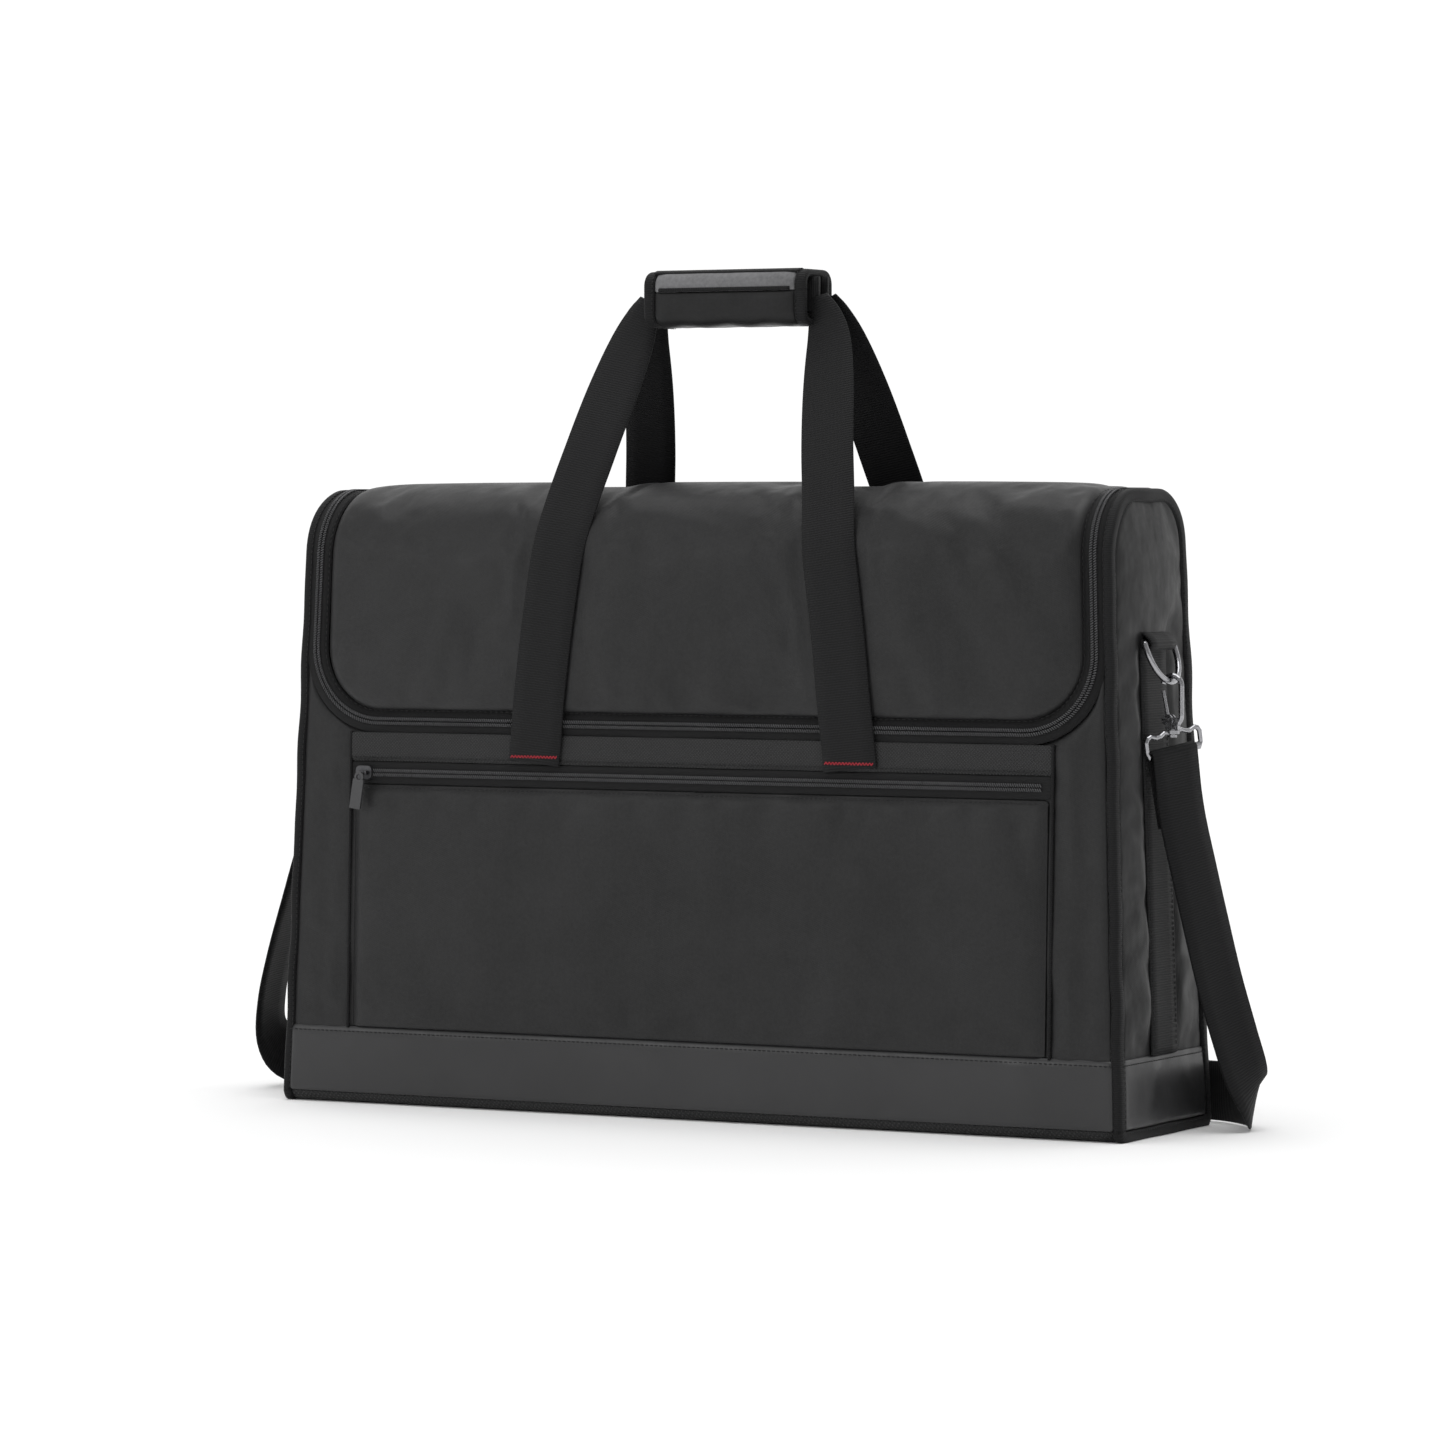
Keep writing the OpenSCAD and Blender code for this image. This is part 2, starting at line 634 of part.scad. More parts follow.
module gate(s) color("#aeb1b6") hook_place(s) difference() {
    union() {
        translate([rivet[0], 0, rivet[1]]) y_rod(2.9, 2.6);
        flat_wire([[rivet[0] - 0.6, rivet[1] + 1.6], [-hook_eye, -3.4]], 1.15);
    }
    translate([rivet[0], 0, rivet[1]]) y_rod(rivet_r + gate_gap, 4);
}
// Wire frame that the strap folds over, turning on the hook's post
frame_wire = 1.5;
frame_drop = 12;
collar_z = -base_drop - 1.7;
collar_t = 2.2;
module strap_frame(s) color("#c4c7cb") hook_place(s) translate([0, 0, collar_z])
    rotate([0, 0, swivel_turn]) {
        difference() {
            translate([0, 0, -collar_t / 2]) cylinder(r = 4.6, h = collar_t);
            translate([0, 0, -3]) cylinder(r = post_r + gate_gap, h = 6);
        }
        half = frame_w / 2 + frame_wire;
        arm = [[3.6, 0], [7, 0.6], [10.5, -1], [14, -1.4], [half - 4, 0.2], [half - 1.6, -0.6], [half, -3],
            [half, -frame_drop + 2], [half - 1.2, -frame_drop]];
        for (t = [0, 1]) mirror([t, 0, 0]) rotate([0, -frame_tilt * (t == 0 ? 1 : -1), 0])
            flat_wire(concat(arm, [[0, -frame_drop]]), frame_wire);
    }

// ---------- shoulder strap ----------
// Route of each half, from its frame to the adjuster behind the bag: place, then the direction
// of the webbing's width as a turn from +X and a tilt upwards
right_route = [[309, 0, 236], [313, 3, 200], [319, 8, 165], [325, 14, 130], [331, 21, 95],
    [338, 28, 62], [344, 34, 36], [346, 42, 21], [338, 56, 20], [324, 72, 20], [304, 86, 20],
    [278, 92, 20], [240, 93, 20], [200, 94, 20], [160, 94, 20], [120, 94, 20], [80, 94, 20],
    [45, 94, 20], [14, 94, 20]];
right_twist = [[66, 9], [66, 9], [66, 9], [66, 9], [66, 9], [66, 10], [70, 18], [92, 44], [118, 70],
    [128, 84], [140, 88], [160, 88], [175, 88], [180, 88], [180, 88], [180, 88], [180, 88],
    [180, 88], [180, 88]];
left_route = [[-309, 0, 236], [-318, 1, 200], [-330, 2, 165], [-341, 3, 130], [-352, 4, 95],
    [-361, 6, 62], [-365, 12, 36], [-361, 28, 21], [-346, 48, 20], [-328, 68, 20], [-306, 85, 20],
    [-278, 92, 20], [-240, 93, 20], [-200, 94, 20], [-160, 94, 20], [-120, 94, 20], [-80, 94, 20],
    [-45, 94, 20], [-14, 94, 20]];
left_twist = [[114, -9], [108, -6], [102, -3], [98, 0], [96, 0], [94, 4], [90, 16], [78, 44], [60, 70],
    [52, 84], [40, 88], [20, 88], [5, 88], [0, 88], [0, 88], [0, 88], [0, 88], [0, 88], [0, 88]];
strap_t = 1.8;
function way(turn, tilt) = [cos(turn) * cos(tilt), sin(turn) * cos(tilt), sin(tilt)];
function strap_ring(route, twist, i) =
    let (n = len(route), d = unit(route[min(i + 1, n - 1)] - route[max(i - 1, 0)]),
         w0 = way(twist[i][0], twist[i][1]), w = unit(w0 - d * (w0 * d)), t = cross(d, w),
         a = webbing_w / 2, b = strap_t / 2)
    [for (k = [[1, 0], [0.9, 1], [0, 1], [-0.9, 1], [-1, 0], [-0.9, -1], [0, -1], [0.9, -1]])
        route[i] + w * (a * k[0]) + t * (b * k[1])];
module strap_sweep(route, twist) {
    n = len(route);
    polyhedron(points = [for (i = [0:n - 1]) each strap_ring(route, twist, i)],
        faces = concat([[for (k = [0:7]) k]], [[for (k = [7:-1:0]) (n - 1) * 8 + k]],
            [for (i = [0:n - 2]) for (k = [0:7]) for (f = [0, 1])
                let (a = i * 8 + k, b = i * 8 + (k + 1) % 8, c = a + 8, d = b + 8)
                f == 0 ? [a, c, b] : [b, c, d]]));
}
module strap_right() color("#1f1f20") strap_sweep(right_route, right_twist);
module strap_left() color("#1f1f20") strap_sweep(left_route, left_twist);
// Three-bar slide between the two halves
adjuster_l = 28;
adjuster_t = 3.4;
module strap_adjuster() color("#2a2a2c") translate([0, 94, 20]) rotate([2, 0, 0]) difference() {
    cube([adjuster_l, adjuster_t, webbing_w + 4], center = true);
    for (s = [-1, 1]) translate([s * 6.5, 0, 0]) cube([7, 2 * adjuster_t, webbing_w - 6], center = true);
}

front_panel();
back_panel();
base_panel();
end_panel(-1);  // left_end_panel
end_panel(1);  // right_end_panel
binding(-1);  // left_binding
binding(1);  // right_binding
base_band(false);  // front_base_band
base_band(true);  // back_base_band
end_band(-1);  // left_base_band
end_band(1);  // right_base_band
front_foam();
back_foam();
end_foam(-1);  // left_end_foam
end_foam(1);  // right_end_foam
base_foam();
base_board();
body_lining();
body_zip_tape();
pocket_facing();
pocket_zip_tape();
pocket_panel();
pocket_piping();
side_webbing(-1);  // left_side_webbing
side_webbing(1);  // right_side_webbing
ring_loop(-1);  // left_ring_loop
ring_loop(1);  // right_ring_loop
handle_bartacks();
lid_panel();
lid_foam();
lid_lining();
lid_zip_tape();
lid_slider();
lid_pull();
pocket_slider();
pocket_pull();
front_handle_strap();
back_handle_strap();
grip_wrap();
grip_binding();
grip_flap();
grip_flap_binding();
ring(-1);  // left_ring
ring(1);  // right_ring
hook(-1);  // left_hook
hook(1);  // right_hook
gate(-1);  // left_gate
gate(1);  // right_gate
strap_frame(-1);  // left_strap_frame
strap_frame(1);  // right_strap_frame
strap_right();
strap_left();
strap_adjuster();
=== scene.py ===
import json
import math

import bpy
import numpy as np
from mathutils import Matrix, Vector


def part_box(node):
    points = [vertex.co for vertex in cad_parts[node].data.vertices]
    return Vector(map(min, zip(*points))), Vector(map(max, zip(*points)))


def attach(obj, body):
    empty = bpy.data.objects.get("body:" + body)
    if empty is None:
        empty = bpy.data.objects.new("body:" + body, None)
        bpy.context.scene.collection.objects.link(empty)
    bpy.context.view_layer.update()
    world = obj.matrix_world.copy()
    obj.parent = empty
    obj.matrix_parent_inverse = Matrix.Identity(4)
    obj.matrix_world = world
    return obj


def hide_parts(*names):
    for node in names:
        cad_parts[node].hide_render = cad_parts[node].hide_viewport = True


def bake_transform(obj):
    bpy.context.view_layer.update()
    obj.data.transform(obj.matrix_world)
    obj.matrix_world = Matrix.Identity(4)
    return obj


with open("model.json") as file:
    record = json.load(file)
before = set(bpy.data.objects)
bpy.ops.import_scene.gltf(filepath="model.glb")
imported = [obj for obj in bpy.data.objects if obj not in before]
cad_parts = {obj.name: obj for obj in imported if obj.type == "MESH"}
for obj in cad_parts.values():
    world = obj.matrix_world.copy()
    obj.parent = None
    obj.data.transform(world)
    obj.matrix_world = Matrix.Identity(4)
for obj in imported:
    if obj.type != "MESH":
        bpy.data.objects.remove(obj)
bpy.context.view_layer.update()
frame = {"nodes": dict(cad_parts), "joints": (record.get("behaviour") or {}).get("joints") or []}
JOINTS = {j["name"]: j for j in frame["joints"]}

# ---------------------------------------------------------------- sizes, in metres
HALF_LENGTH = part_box("right_binding")[1].x      # half the bag's length at the floor
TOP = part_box("lid_panel")[1].z                  # height of the bag's body
HALF_DEPTH = 0.068
END_LEAN, FRONT_LEAN, BACK_LEAN = 0.014, 0.011, 0.015
FRONT_ARCH, REAR_ARCH = 0.042, 0.034
BAND_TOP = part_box("front_base_band")[1].z
BASE_CORNER = 0.008
BINDING = 0.006                                 # width of the edge binding along the bag
PAD = 0.007                                     # skin and foam together
ZIP_Z, ZIP_SIDE, ZIP_CORNER = 0.252, 0.012, 0.050
TAPE = 0.007                                    # width of one side of a zip tape
POCKET_HALF, POCKET_ZIP_Z = 0.255, 0.218
WEBBING = 0.038
GRIP_HALF = 0.059
GRIP_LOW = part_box("grip_wrap")[0].z
GRIP_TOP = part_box("grip_flap")[1].z
GRIP_MID = (GRIP_LOW + GRIP_TOP) / 2
FLOOR_GAP = 0.0004                              # soft pieces stay this far above the floor
RING = np.array(JOINTS["right_ring_swing"]["pos_m"])
HOOK = np.array(JOINTS["right_gate_open"]["pos_m"]) + [0.0022, 0, 0.0215]

FRONT_TILT = math.atan(FRONT_LEAN / TOP)
BACK_TILT = math.atan(BACK_LEAN / TOP)
FRONT_CENTRE = (-HALF_DEPTH + FRONT_LEAN / TOP * (TOP - FRONT_ARCH) + FRONT_ARCH / math.cos(FRONT_TILT),
                TOP - FRONT_ARCH)
REAR_CENTRE = (HALF_DEPTH - BACK_LEAN / TOP * (TOP - REAR_ARCH) - REAR_ARCH / math.cos(BACK_TILT),
               TOP - REAR_ARCH)
HINGE_TURN = math.radians(160)                  # where the lid's hinge lies on the outline


# ---------------------------------------------------------------- camera
def aim_camera():
    """Long lens at the height of the bag's middle, turned to the right of its front."""
    azimuth, elevation, distance = math.radians(28.31), math.radians(1.95), 3.959
    back = Vector((math.sin(azimuth) * math.cos(elevation), -math.cos(azimuth) * math.cos(elevation),
                   math.sin(elevation)))
    right = Vector((math.cos(azimuth), math.sin(azimuth), 0))
    data = bpy.data.cameras.new("camera")
    data.lens, data.sensor_width = 152.3, 36
    data.clip_start, data.clip_end = 0.1, 100
    camera = bpy.data.objects.new("camera", data)
    bpy.context.scene.collection.objects.link(camera)
    camera.location = right * -0.0098 + Vector((0, 0, 0.2528)) + back * distance
    camera.rotation_mode = "QUATERNION"
    camera.rotation_quaternion = (-back).to_track_quat("-Z", "Y")
    bpy.context.scene.camera = camera


aim_camera()


# ---------------------------------------------------------------- mesh helpers
def unit(v):
    """Vectors at length 1, along the last axis."""
    return v / np.maximum(np.linalg.norm(v, axis=-1, keepdims=True), 1e-12)


def smooth_step(t):
    """Eases from 0 to 1 as t goes from 0 to 1, and stays there beyond."""
    t = np.clip(t, 0, 1)
    return t * t * (3 - 2 * t)


def spline(points, count):
    """Catmull-Rom curve through the points, resampled at even steps of its own length."""
    p = np.asarray(points, float)
    p = np.concatenate([[2 * p[0] - p[1]], p, [2 * p[-1] - p[-2]]])
    t = np.linspace(0, 1, 16, endpoint=False)[None, :, None]
    a, b, c, d = (p[k:len(p) - 3 + k, None] for k in range(4))
    curve = 0.5 * (2 * b + (c - a) * t + (2 * a - 5 * b + 4 * c - d) * t ** 2
                   + (3 * b - a - 3 * c + d) * t ** 3)
    curve = np.concatenate([curve.reshape(-1, p.shape[1]), p[-2:-1]])
    return even(curve, count)


def run_of(points):
    """Length along a line of points, from its start to each of them."""
    return np.concatenate([[0], np.cumsum(np.linalg.norm(np.diff(points, axis=0), axis=1))])


def even(points, count):
    """The same line with this many points at even steps of its length, measured on its first three
    values."""
    run = run_of(points[:, :3])
    at = np.linspace(0, run[-1], count)
    return np.stack([np.interp(at, run, points[:, k]) for k in range(points.shape[1])], -1)


def make_object(name, verts, faces, uv=None, smooth=True):
    """Mesh object from arrays of points and faces, with the map given for each point."""
    mesh = bpy.data.meshes.new(name)
    mesh.from_pydata(np.asarray(verts).reshape(-1, 3).tolist(), [], [list(map(int, f)) for f in faces])
    if uv is not None:
        loops = np.zeros(len(mesh.loops), np.int32)
        mesh.loops.foreach_get("vertex_index", loops)
        mesh.uv_layers.new(name="UVMap").data.foreach_set("uv", np.asarray(uv, np.float32)[loops].ravel())
    mesh.polygons.foreach_set("use_smooth", [smooth] * len(mesh.polygons))
    mesh.update()
    obj = bpy.data.objects.new(name, mesh)
    bpy.context.scene.collection.objects.link(obj)
    return obj


def grid_faces(rows, columns, start=0, wrap=False):
    """Quads of a grid stored row by row; wrap joins the last column to the first."""
    i = np.arange(columns if wrap else columns - 1)
    j = np.arange(rows - 1)[:, None]
    a, b = j * columns + i, j * columns + (i + 1) % columns
    return np.stack([a, b, b + columns, a + columns], -1).reshape(-1, 4) + start


def rim(rows, columns):
    """Indices round the edge of a grid, anticlockwise."""
    k = np.arange(rows * columns).reshape(rows, columns)
    return np.concatenate([k[0], k[1:, -1], k[-1, -2::-1], k[-2:0:-1, 0]])


def pad(name, outer, inner, subdivide=1):
    """Closed pad between two grids of points of the same shape: outer face, inner face and the rim that
    joins them. The map holds the distance along a row and along a column."""
    rows, columns = outer.shape[:2]
    front = grid_faces(rows, columns)
    back = grid_faces(rows, columns, rows * columns)[:, ::-1]
    edge = rim(rows, columns)
    after, far = np.roll(edge, -1), rows * columns
    sides = np.stack([edge, edge + far, after + far, after], -1)
    across = np.concatenate([np.zeros((rows, 1)),
                             np.cumsum(np.linalg.norm(np.diff(outer, axis=1), axis=2), 1)], 1)
    up = np.concatenate([np.zeros((1, columns)),
                         np.cumsum(np.linalg.norm(np.diff(outer, axis=0), axis=2), 0)], 0)
    uv = np.stack([across, up], -1).reshape(-1, 2)
    obj = make_object(name, np.concatenate([outer.reshape(-1, 3), inner.reshape(-1, 3)]),
                      np.concatenate([front, back, sides]), np.concatenate([uv, uv]))
    if subdivide:
        add_subdivision(obj, subdivide)
    return obj


def keep_above_floor(obj):
    """Lifts to the floor's gap each point of a mesh that is lower."""
    co = np.zeros(len(obj.data.vertices) * 3, np.float32)
    obj.data.vertices.foreach_get("co", co)
    co[2::3] = np.maximum(co[2::3], FLOOR_GAP)
    obj.data.vertices.foreach_set("co", co)
    obj.data.update()


def add_subdivision(obj, level=1):
    """Smooths a mesh with a subdivision modifier of the same level in view and render."""
    m = obj.modifiers.new("Subdivision", "SUBSURF")
    m.levels = m.render_levels = level


def sweep(name, centre, across, up, section, closed=False, smooth=True):
    """Closed profile carried along a path: point = centre + across * profile x + up * profile y. The map
    holds the distance round the profile and the distance along the path."""
    centre, across, up = (np.asarray(v, float) for v in (centre, across, up))
    section = np.broadcast_to(section, (len(centre),) + np.shape(section)[-2:])
    n, k = section.shape[:2]
    points = centre[:, None] + across[:, None] * section[..., :1] + up[:, None] * section[..., 1:]
    ring = np.concatenate([[0], np.cumsum(np.linalg.norm(np.diff(section[0], axis=0), axis=1))])
    uv = np.stack([np.broadcast_to(ring, (n, k)), np.broadcast_to(run_of(centre)[:, None], (n, k))], -1)
    faces = grid_faces(n, k, wrap=True)
    if closed:
        last = (n - 1) * k
        i = np.arange(k)
        faces = np.concatenate([faces, np.stack([last + i, last + (i + 1) % k, (i + 1) % k, i], -1)])
        faces = list(faces)
    else:
        faces = list(faces) + [np.arange(k)[::-1], np.arange(k) + (n - 1) * k]
    return make_object(name, points, faces, uv.reshape(-1, 2), smooth)


def band_section(half, thick, lift=0.0):
    """Flat band with rounded edges, anticlockwise, from its face outwards; lift bows it."""
    x = np.array([-1, -0.97, -0.5, 0, 0.5, 0.97, 1, 0.97, 0.5, 0, -0.5, -0.97]) * half
    y = np.array([0, -1, -1, -1, -1, -1, 0, 1, 1, 1, 1, 1]) * thick / 2
    return np.stack([x, y + lift * (1 - (x / half) ** 2)], -1)


def oval(a, b, count=12):
    """Points of an ellipse with half widths a and b, anticlockwise."""
    w = np.linspace(0, 2 * math.pi, count, endpoint=False)
    return np.stack([a * np.cos(w), b * np.sin(w)], -1)


def tangents(points):
    """Direction of a path at each of its points."""
    return unit(np.gradient(np.asarray(points, float), axis=0))


def wire(name, route, radius, sides=12, side=(0, 1, 0), count=None):
    """Round wire along a smooth route; side is a direction that the route stays square to."""
    path = spline(route, count or 8 * len(route))
    t = tangents(path)
    across = unit(np.cross(t, side))
    return sweep(name, path, across, np.cross(t, across), oval(radius, radius, sides))


# A grain of thread or a zip tooth: a square bar with pointed ends, long along x
GRAIN = np.array([[-0.5, 0, 0], [-0.3, -0.5, 0], [-0.3, 0, 0.5], [-0.3, 0.5, 0], [-0.3, 0, -0.5],
                  [0.3, -0.5, 0], [0.3, 0, 0.5], [0.3, 0.5, 0], [0.3, 0, -0.5], [0.5, 0, 0]])
GRAIN_SIDES = np.array([[a, a + 4, b + 4, b] for a, b in ((1, 2), (2, 3), (3, 4), (4, 1))])
GRAIN_ENDS = np.array([[0, a, b] for a, b in ((1, 2), (2, 3), (3, 4), (4, 1))]
                      + [[9, b, a] for a, b in ((5, 6), (6, 7), (7, 8), (8, 5))])


def grains(name, centres, along, up, length, width, height):
    """Row of small bars: each point is centre + along * x + across * y + up * z of one bar."""
    across = np.cross(up, along)
    shape = GRAIN * [length, width, height]
    points = (centres[:, None] + along[:, None] * shape[:, 0, None] + across[:, None] * shape[:, 1, None]
              + up[:, None] * shape[:, 2, None])
    step = np.arange(len(centres))[:, None, None] * len(GRAIN)
    faces = (list((GRAIN_SIDES[None] + step).reshape(-1, 4)) + list((GRAIN_ENDS[None] + step).reshape(-1, 3)))
    return make_object(name, points, faces)


def stitches(name, path, up, body, pitch=0.0034, length=0.0026, width=0.0007, lift=0.0001, material=None):
    """Row of thread stitches on a line of points, with up the direction out of the cloth."""
    path, up = np.asarray(path, float), np.broadcast_to(up, np.shape(path))
    run = run_of(path)
    at = np.arange(pitch / 2, run[-1], pitch)
    place = lambda values: np.stack([np.interp(at, run, values[:, k]) for k in range(3)], -1)
    normal = unit(place(up))
    along = place(tangents(path))
    along = unit(along - normal * (along * normal).sum(1, keepdims=True))
    obj = grains(name, place(path) + normal * lift, along, normal, length, width, width * 0.7)
    finish_piece(obj, body, material or MAT["thread"])
    return obj


def finish_piece(obj, body, material, replaces=()):
    """Material, the body that carries the piece and the frame nodes that it stands for."""
    obj.data.materials.append(material)
    if body:
        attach(obj, body)
    if replaces:
        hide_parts(*replaces)
    return obj


# ---------------------------------------------------------------- the bag's outline
def make_outline():
    """Outline of the bag's side: up the front, round the front arch, over the top, round the rear arch
    and down the back. An arch point is its centre + radius * (-cos turn, sin turn), with the turn of the
    outward normal."""
    front = np.linspace(FRONT_TILT, math.pi / 2, 40)
    rear = np.linspace(math.pi / 2, math.pi - BACK_TILT, 40)
    arch = lambda c, r, w: np.stack([c[0] - r * np.cos(w), c[1] + r * np.sin(w)], -1)
    points = np.concatenate([[[-HALF_DEPTH, 0]], arch(FRONT_CENTRE, FRONT_ARCH, front),
                             arch(REAR_CENTRE, REAR_ARCH, rear), [[HALF_DEPTH, 0]]])
    turn = np.concatenate([[FRONT_TILT], front, rear, [math.pi - BACK_TILT]])
    return run_of(points), points[:, 0], points[:, 1], turn


RUN, OUT_Y, OUT_Z, TURN = make_outline()
RUN_TOP = np.interp(math.pi / 2, TURN[1:41], RUN[1:41])
RUN_HINGE = np.interp(HINGE_TURN, TURN[41:81], RUN[41:81])
RUN_END = RUN[-1]


def half_length(z):
    """Half the bag's length at a height: the ends lean inwards."""
    return HALF_LENGTH - END_LEAN / TOP * z


def height_at(run):
    """Height of the outline at a distance along it."""
    return np.interp(run, RUN, OUT_Z)


def front_run(z):
    """Distance along the outline at a height on the front."""
    return np.asarray(z) / math.cos(FRONT_TILT)


def back_run(z):
    """Distance along the outline at a height on the back."""
    return RUN_END - np.asarray(z) / math.cos(BACK_TILT)


def normal_at(run):
    """Outward direction of the outline at a distance along it."""
    turn = np.interp(run, RUN, TURN)
    return np.stack([np.zeros_like(turn), -np.cos(turn), np.sin(turn)], -1)


def skin(x, run, out=0.0):
    """Point of the bag's skin at a place along the bag and along its outline, moved out along the
    normal."""
    x, run = np.broadcast_arrays(np.asarray(x, float), np.asarray(run, float))
    base = np.stack([x, np.interp(run, RUN, OUT_Y), np.interp(run, RUN, OUT_Z)], -1)
    return base + normal_at(run) * np.asarray(out, float)[..., None]


def folds(x, z, list_of_folds):
    """Height of soft folds: each is a ridge with a round section and faded ends. A fold is its middle, half
    length, turn from upright, width and height."""
    total = np.zeros(np.broadcast(x, z).shape)
    for fx, fz, half, turn, width, height in list_of_folds:
        w = math.radians(turn)
        along = (x - fx) * math.sin(w) + (z - fz) * math.cos(w)
        off = (x - fx) * math.cos(w) - (z - fz) * math.sin(w)
        total += height * np.exp(-(off / width) ** 2) * np.exp(-(along / half) ** 4)
    return total


def rolled(d, radius, height):
    """Rolled edge: a quarter circle that rises from height - radius at the edge to height."""
    inside = np.clip(radius - d, 0, radius)
    return height - radius + np.sqrt(radius ** 2 - inside ** 2)


# ---------------------------------------------------------------- finishes
class Finish:
    """A material's node tree, with short calls for the nodes that cloth and metal need."""

    def __init__(self, name, colour, roughness, specular=0.5, metallic=0.0, sheen=0.0, coat=0.0):
        self.material = bpy.data.materials.new(name)
        self.material.use_nodes = True
        self.nodes, self.links = self.material.node_tree.nodes, self.material.node_tree.links
        self.shader = self.nodes["Principled BSDF"]
        self.colour = (*colour, 1)
        for key, value in (("Base Color", self.colour), ("Roughness", roughness), ("Metallic", metallic),
                           ("Specular IOR Level", specular), ("Sheen Weight", sheen),
                           ("Sheen Roughness", 0.5), ("Coat Weight", coat)):
            self.shader.inputs[key].default_value = value
        self.normal = None

    def node(self, kind, **values):
        n = self.nodes.new(kind)
        for key, value in values.items():
            if key in n.inputs:
                n.inputs[key].default_value = value
            else:
                setattr(n, key, value)
        return n

    def link(self, a, b):
        self.links.new(a, b)

    def coordinates(self, kind="Object", scale=(1, 1, 1), turn=(0, 0, 0)):
        """Object or UV coordinates through a mapping."""
        source = self.node("ShaderNodeTexCoord")
        mapping = self.node("ShaderNodeMapping")
        mapping.inputs["Scale"].default_value = scale
        mapping.inputs["Rotation"].default_value = turn
        self.link(source.outputs[kind], mapping.inputs["Vector"])
        return mapping.outputs["Vector"]

    def noise(self, scale, detail=3, kind="Object", stretch=(1, 1, 1)):
        n = self.node("ShaderNodeTexNoise", Scale=scale, Detail=detail, Roughness=0.55)
        self.link(self.coordinates(kind, stretch), n.inputs["Vector"])
        return n.outputs["Fac"]

    def bands(self, pitch, axis="X", kind="Object", turn=(0, 0, 0)):
        """Sine bands with one ridge each pitch, in metres, across one axis."""
        n = self.node("ShaderNodeTexWave", Scale=1.0, wave_type="BANDS", bands_direction=axis)
        k = 1 / (pitch * 20) * 2 * math.pi                # the wave node repeats every pi / 10 units
        self.link(self.coordinates(kind, (k, k, k), turn), n.inputs["Vector"])
        return n.outputs["Fac"]

    def sum(self, a, b, operation="ADD"):
        n = self.node("ShaderNodeMath", operation=operation)
        self.link(a, n.inputs[0])
        if isinstance(b, float):
            n.inputs[1].default_value = b
        else:
            self.link(b, n.inputs[1])
        return n.outputs[0]

    def spread(self, value, low, high, from_low=0.3, from_high=0.7):
        n = self.node("ShaderNodeMapRange")
        for key, v in (("From Min", from_low), ("From Max", from_high), ("To Min", low), ("To Max", high)):
            n.inputs[key].default_value = v
        self.link(value, n.inputs["Value"])
        return n.outputs["Result"]

    def vary_colour(self, value, dark=0.75, light=1.3, low=0.3, high=0.7):
        """Base colour between a darker and a lighter tint of itself."""
        ramp = self.node("ShaderNodeMix", data_type="RGBA")
        ramp.inputs[6].default_value = tuple(c * dark for c in self.colour[:3]) + (1,)
        ramp.inputs[7].default_value = tuple(min(1, c * light) for c in self.colour[:3]) + (1,)
        self.link(self.spread(value, 0, 1, low, high), ramp.inputs[0])
        self.link(ramp.outputs[2], self.shader.inputs["Base Color"])

    def vary_roughness(self, value, low, high):
        self.link(self.spread(value, low, high), self.shader.inputs["Roughness"])

    def bump(self, height, distance, strength=1.0):
        """Bump of that height in metres, on top of any bump given before it."""
        n = self.node("ShaderNodeBump", Strength=strength, Distance=distance)
        self.link(height, n.inputs["Height"])
        if self.normal:
            self.link(self.normal, n.inputs["Normal"])
        self.normal = n.outputs["Normal"]
        self.link(self.normal, self.shader.inputs["Normal"])


def coated_fabric(name, colour, roughness=0.46, weave=0.0009, specular=0.34, blotch=1.0):
    """Satin coated cloth: fine plain weave, soft uneven gloss and faint lighter and darker patches at random,
    part the cloth's uneven tone and part painted light for uneven shading over the panels.
    """
    f = Finish(name, colour, roughness, specular, sheen=0.02)
    grain = f.spread(f.noise(420, 2), -0.10, 0.10)
    # Random lighter and darker patches of the base colour: part uneven tone, part painted light standing in
    # for uneven shading over the panels
    f.vary_colour(f.sum(f.noise(9, 5), grain), 1 - 0.30 * blotch, 1 + 0.34 * blotch)
    f.vary_roughness(f.noise(60, 3), roughness - 0.05, roughness + 0.08)
    threads = f.sum(f.bands(weave, "X"), f.bands(weave, "DIAGONAL", turn=(0, 0.4, 0)), "MULTIPLY")
    f.bump(threads, weave * 0.12, 0.55)
    f.bump(f.noise(160, 4), 0.00035, 0.5)
    f.bump(f.noise(22, 3, stretch=(1, 1, 0.45)), 0.0030, 0.7)
    return f.material


def woven_fabric(name, colour, thread=0.0016):
    """Matt cloth with a plain cross weave that can be seen."""
    f = Finish(name, colour, 0.62, 0.3, sheen=0.1)
    over = f.sum(f.bands(thread, "X", turn=(0, 0.78, 0)), f.bands(thread, "Z", turn=(0, 0.78, 0)), "MULTIPLY")
    f.vary_colour(over, 0.72, 1.45, 0.05, 0.7)
    f.bump(over, thread * 0.2)
    return f.material


def smooth_coated(name, colour):
    """Smooth coated cloth of the base band: fine leather grain and a soft sheen."""
    f = Finish(name, colour, 0.36, 0.45)
    f.vary_colour(f.noise(7, 4), 0.86, 1.16)
    f.vary_roughness(f.noise(90, 3), 0.30, 0.44)
    f.bump(f.noise(900, 2), 0.00006)
    f.bump(f.noise(45, 3), 0.0006, 0.35)
    return f.material


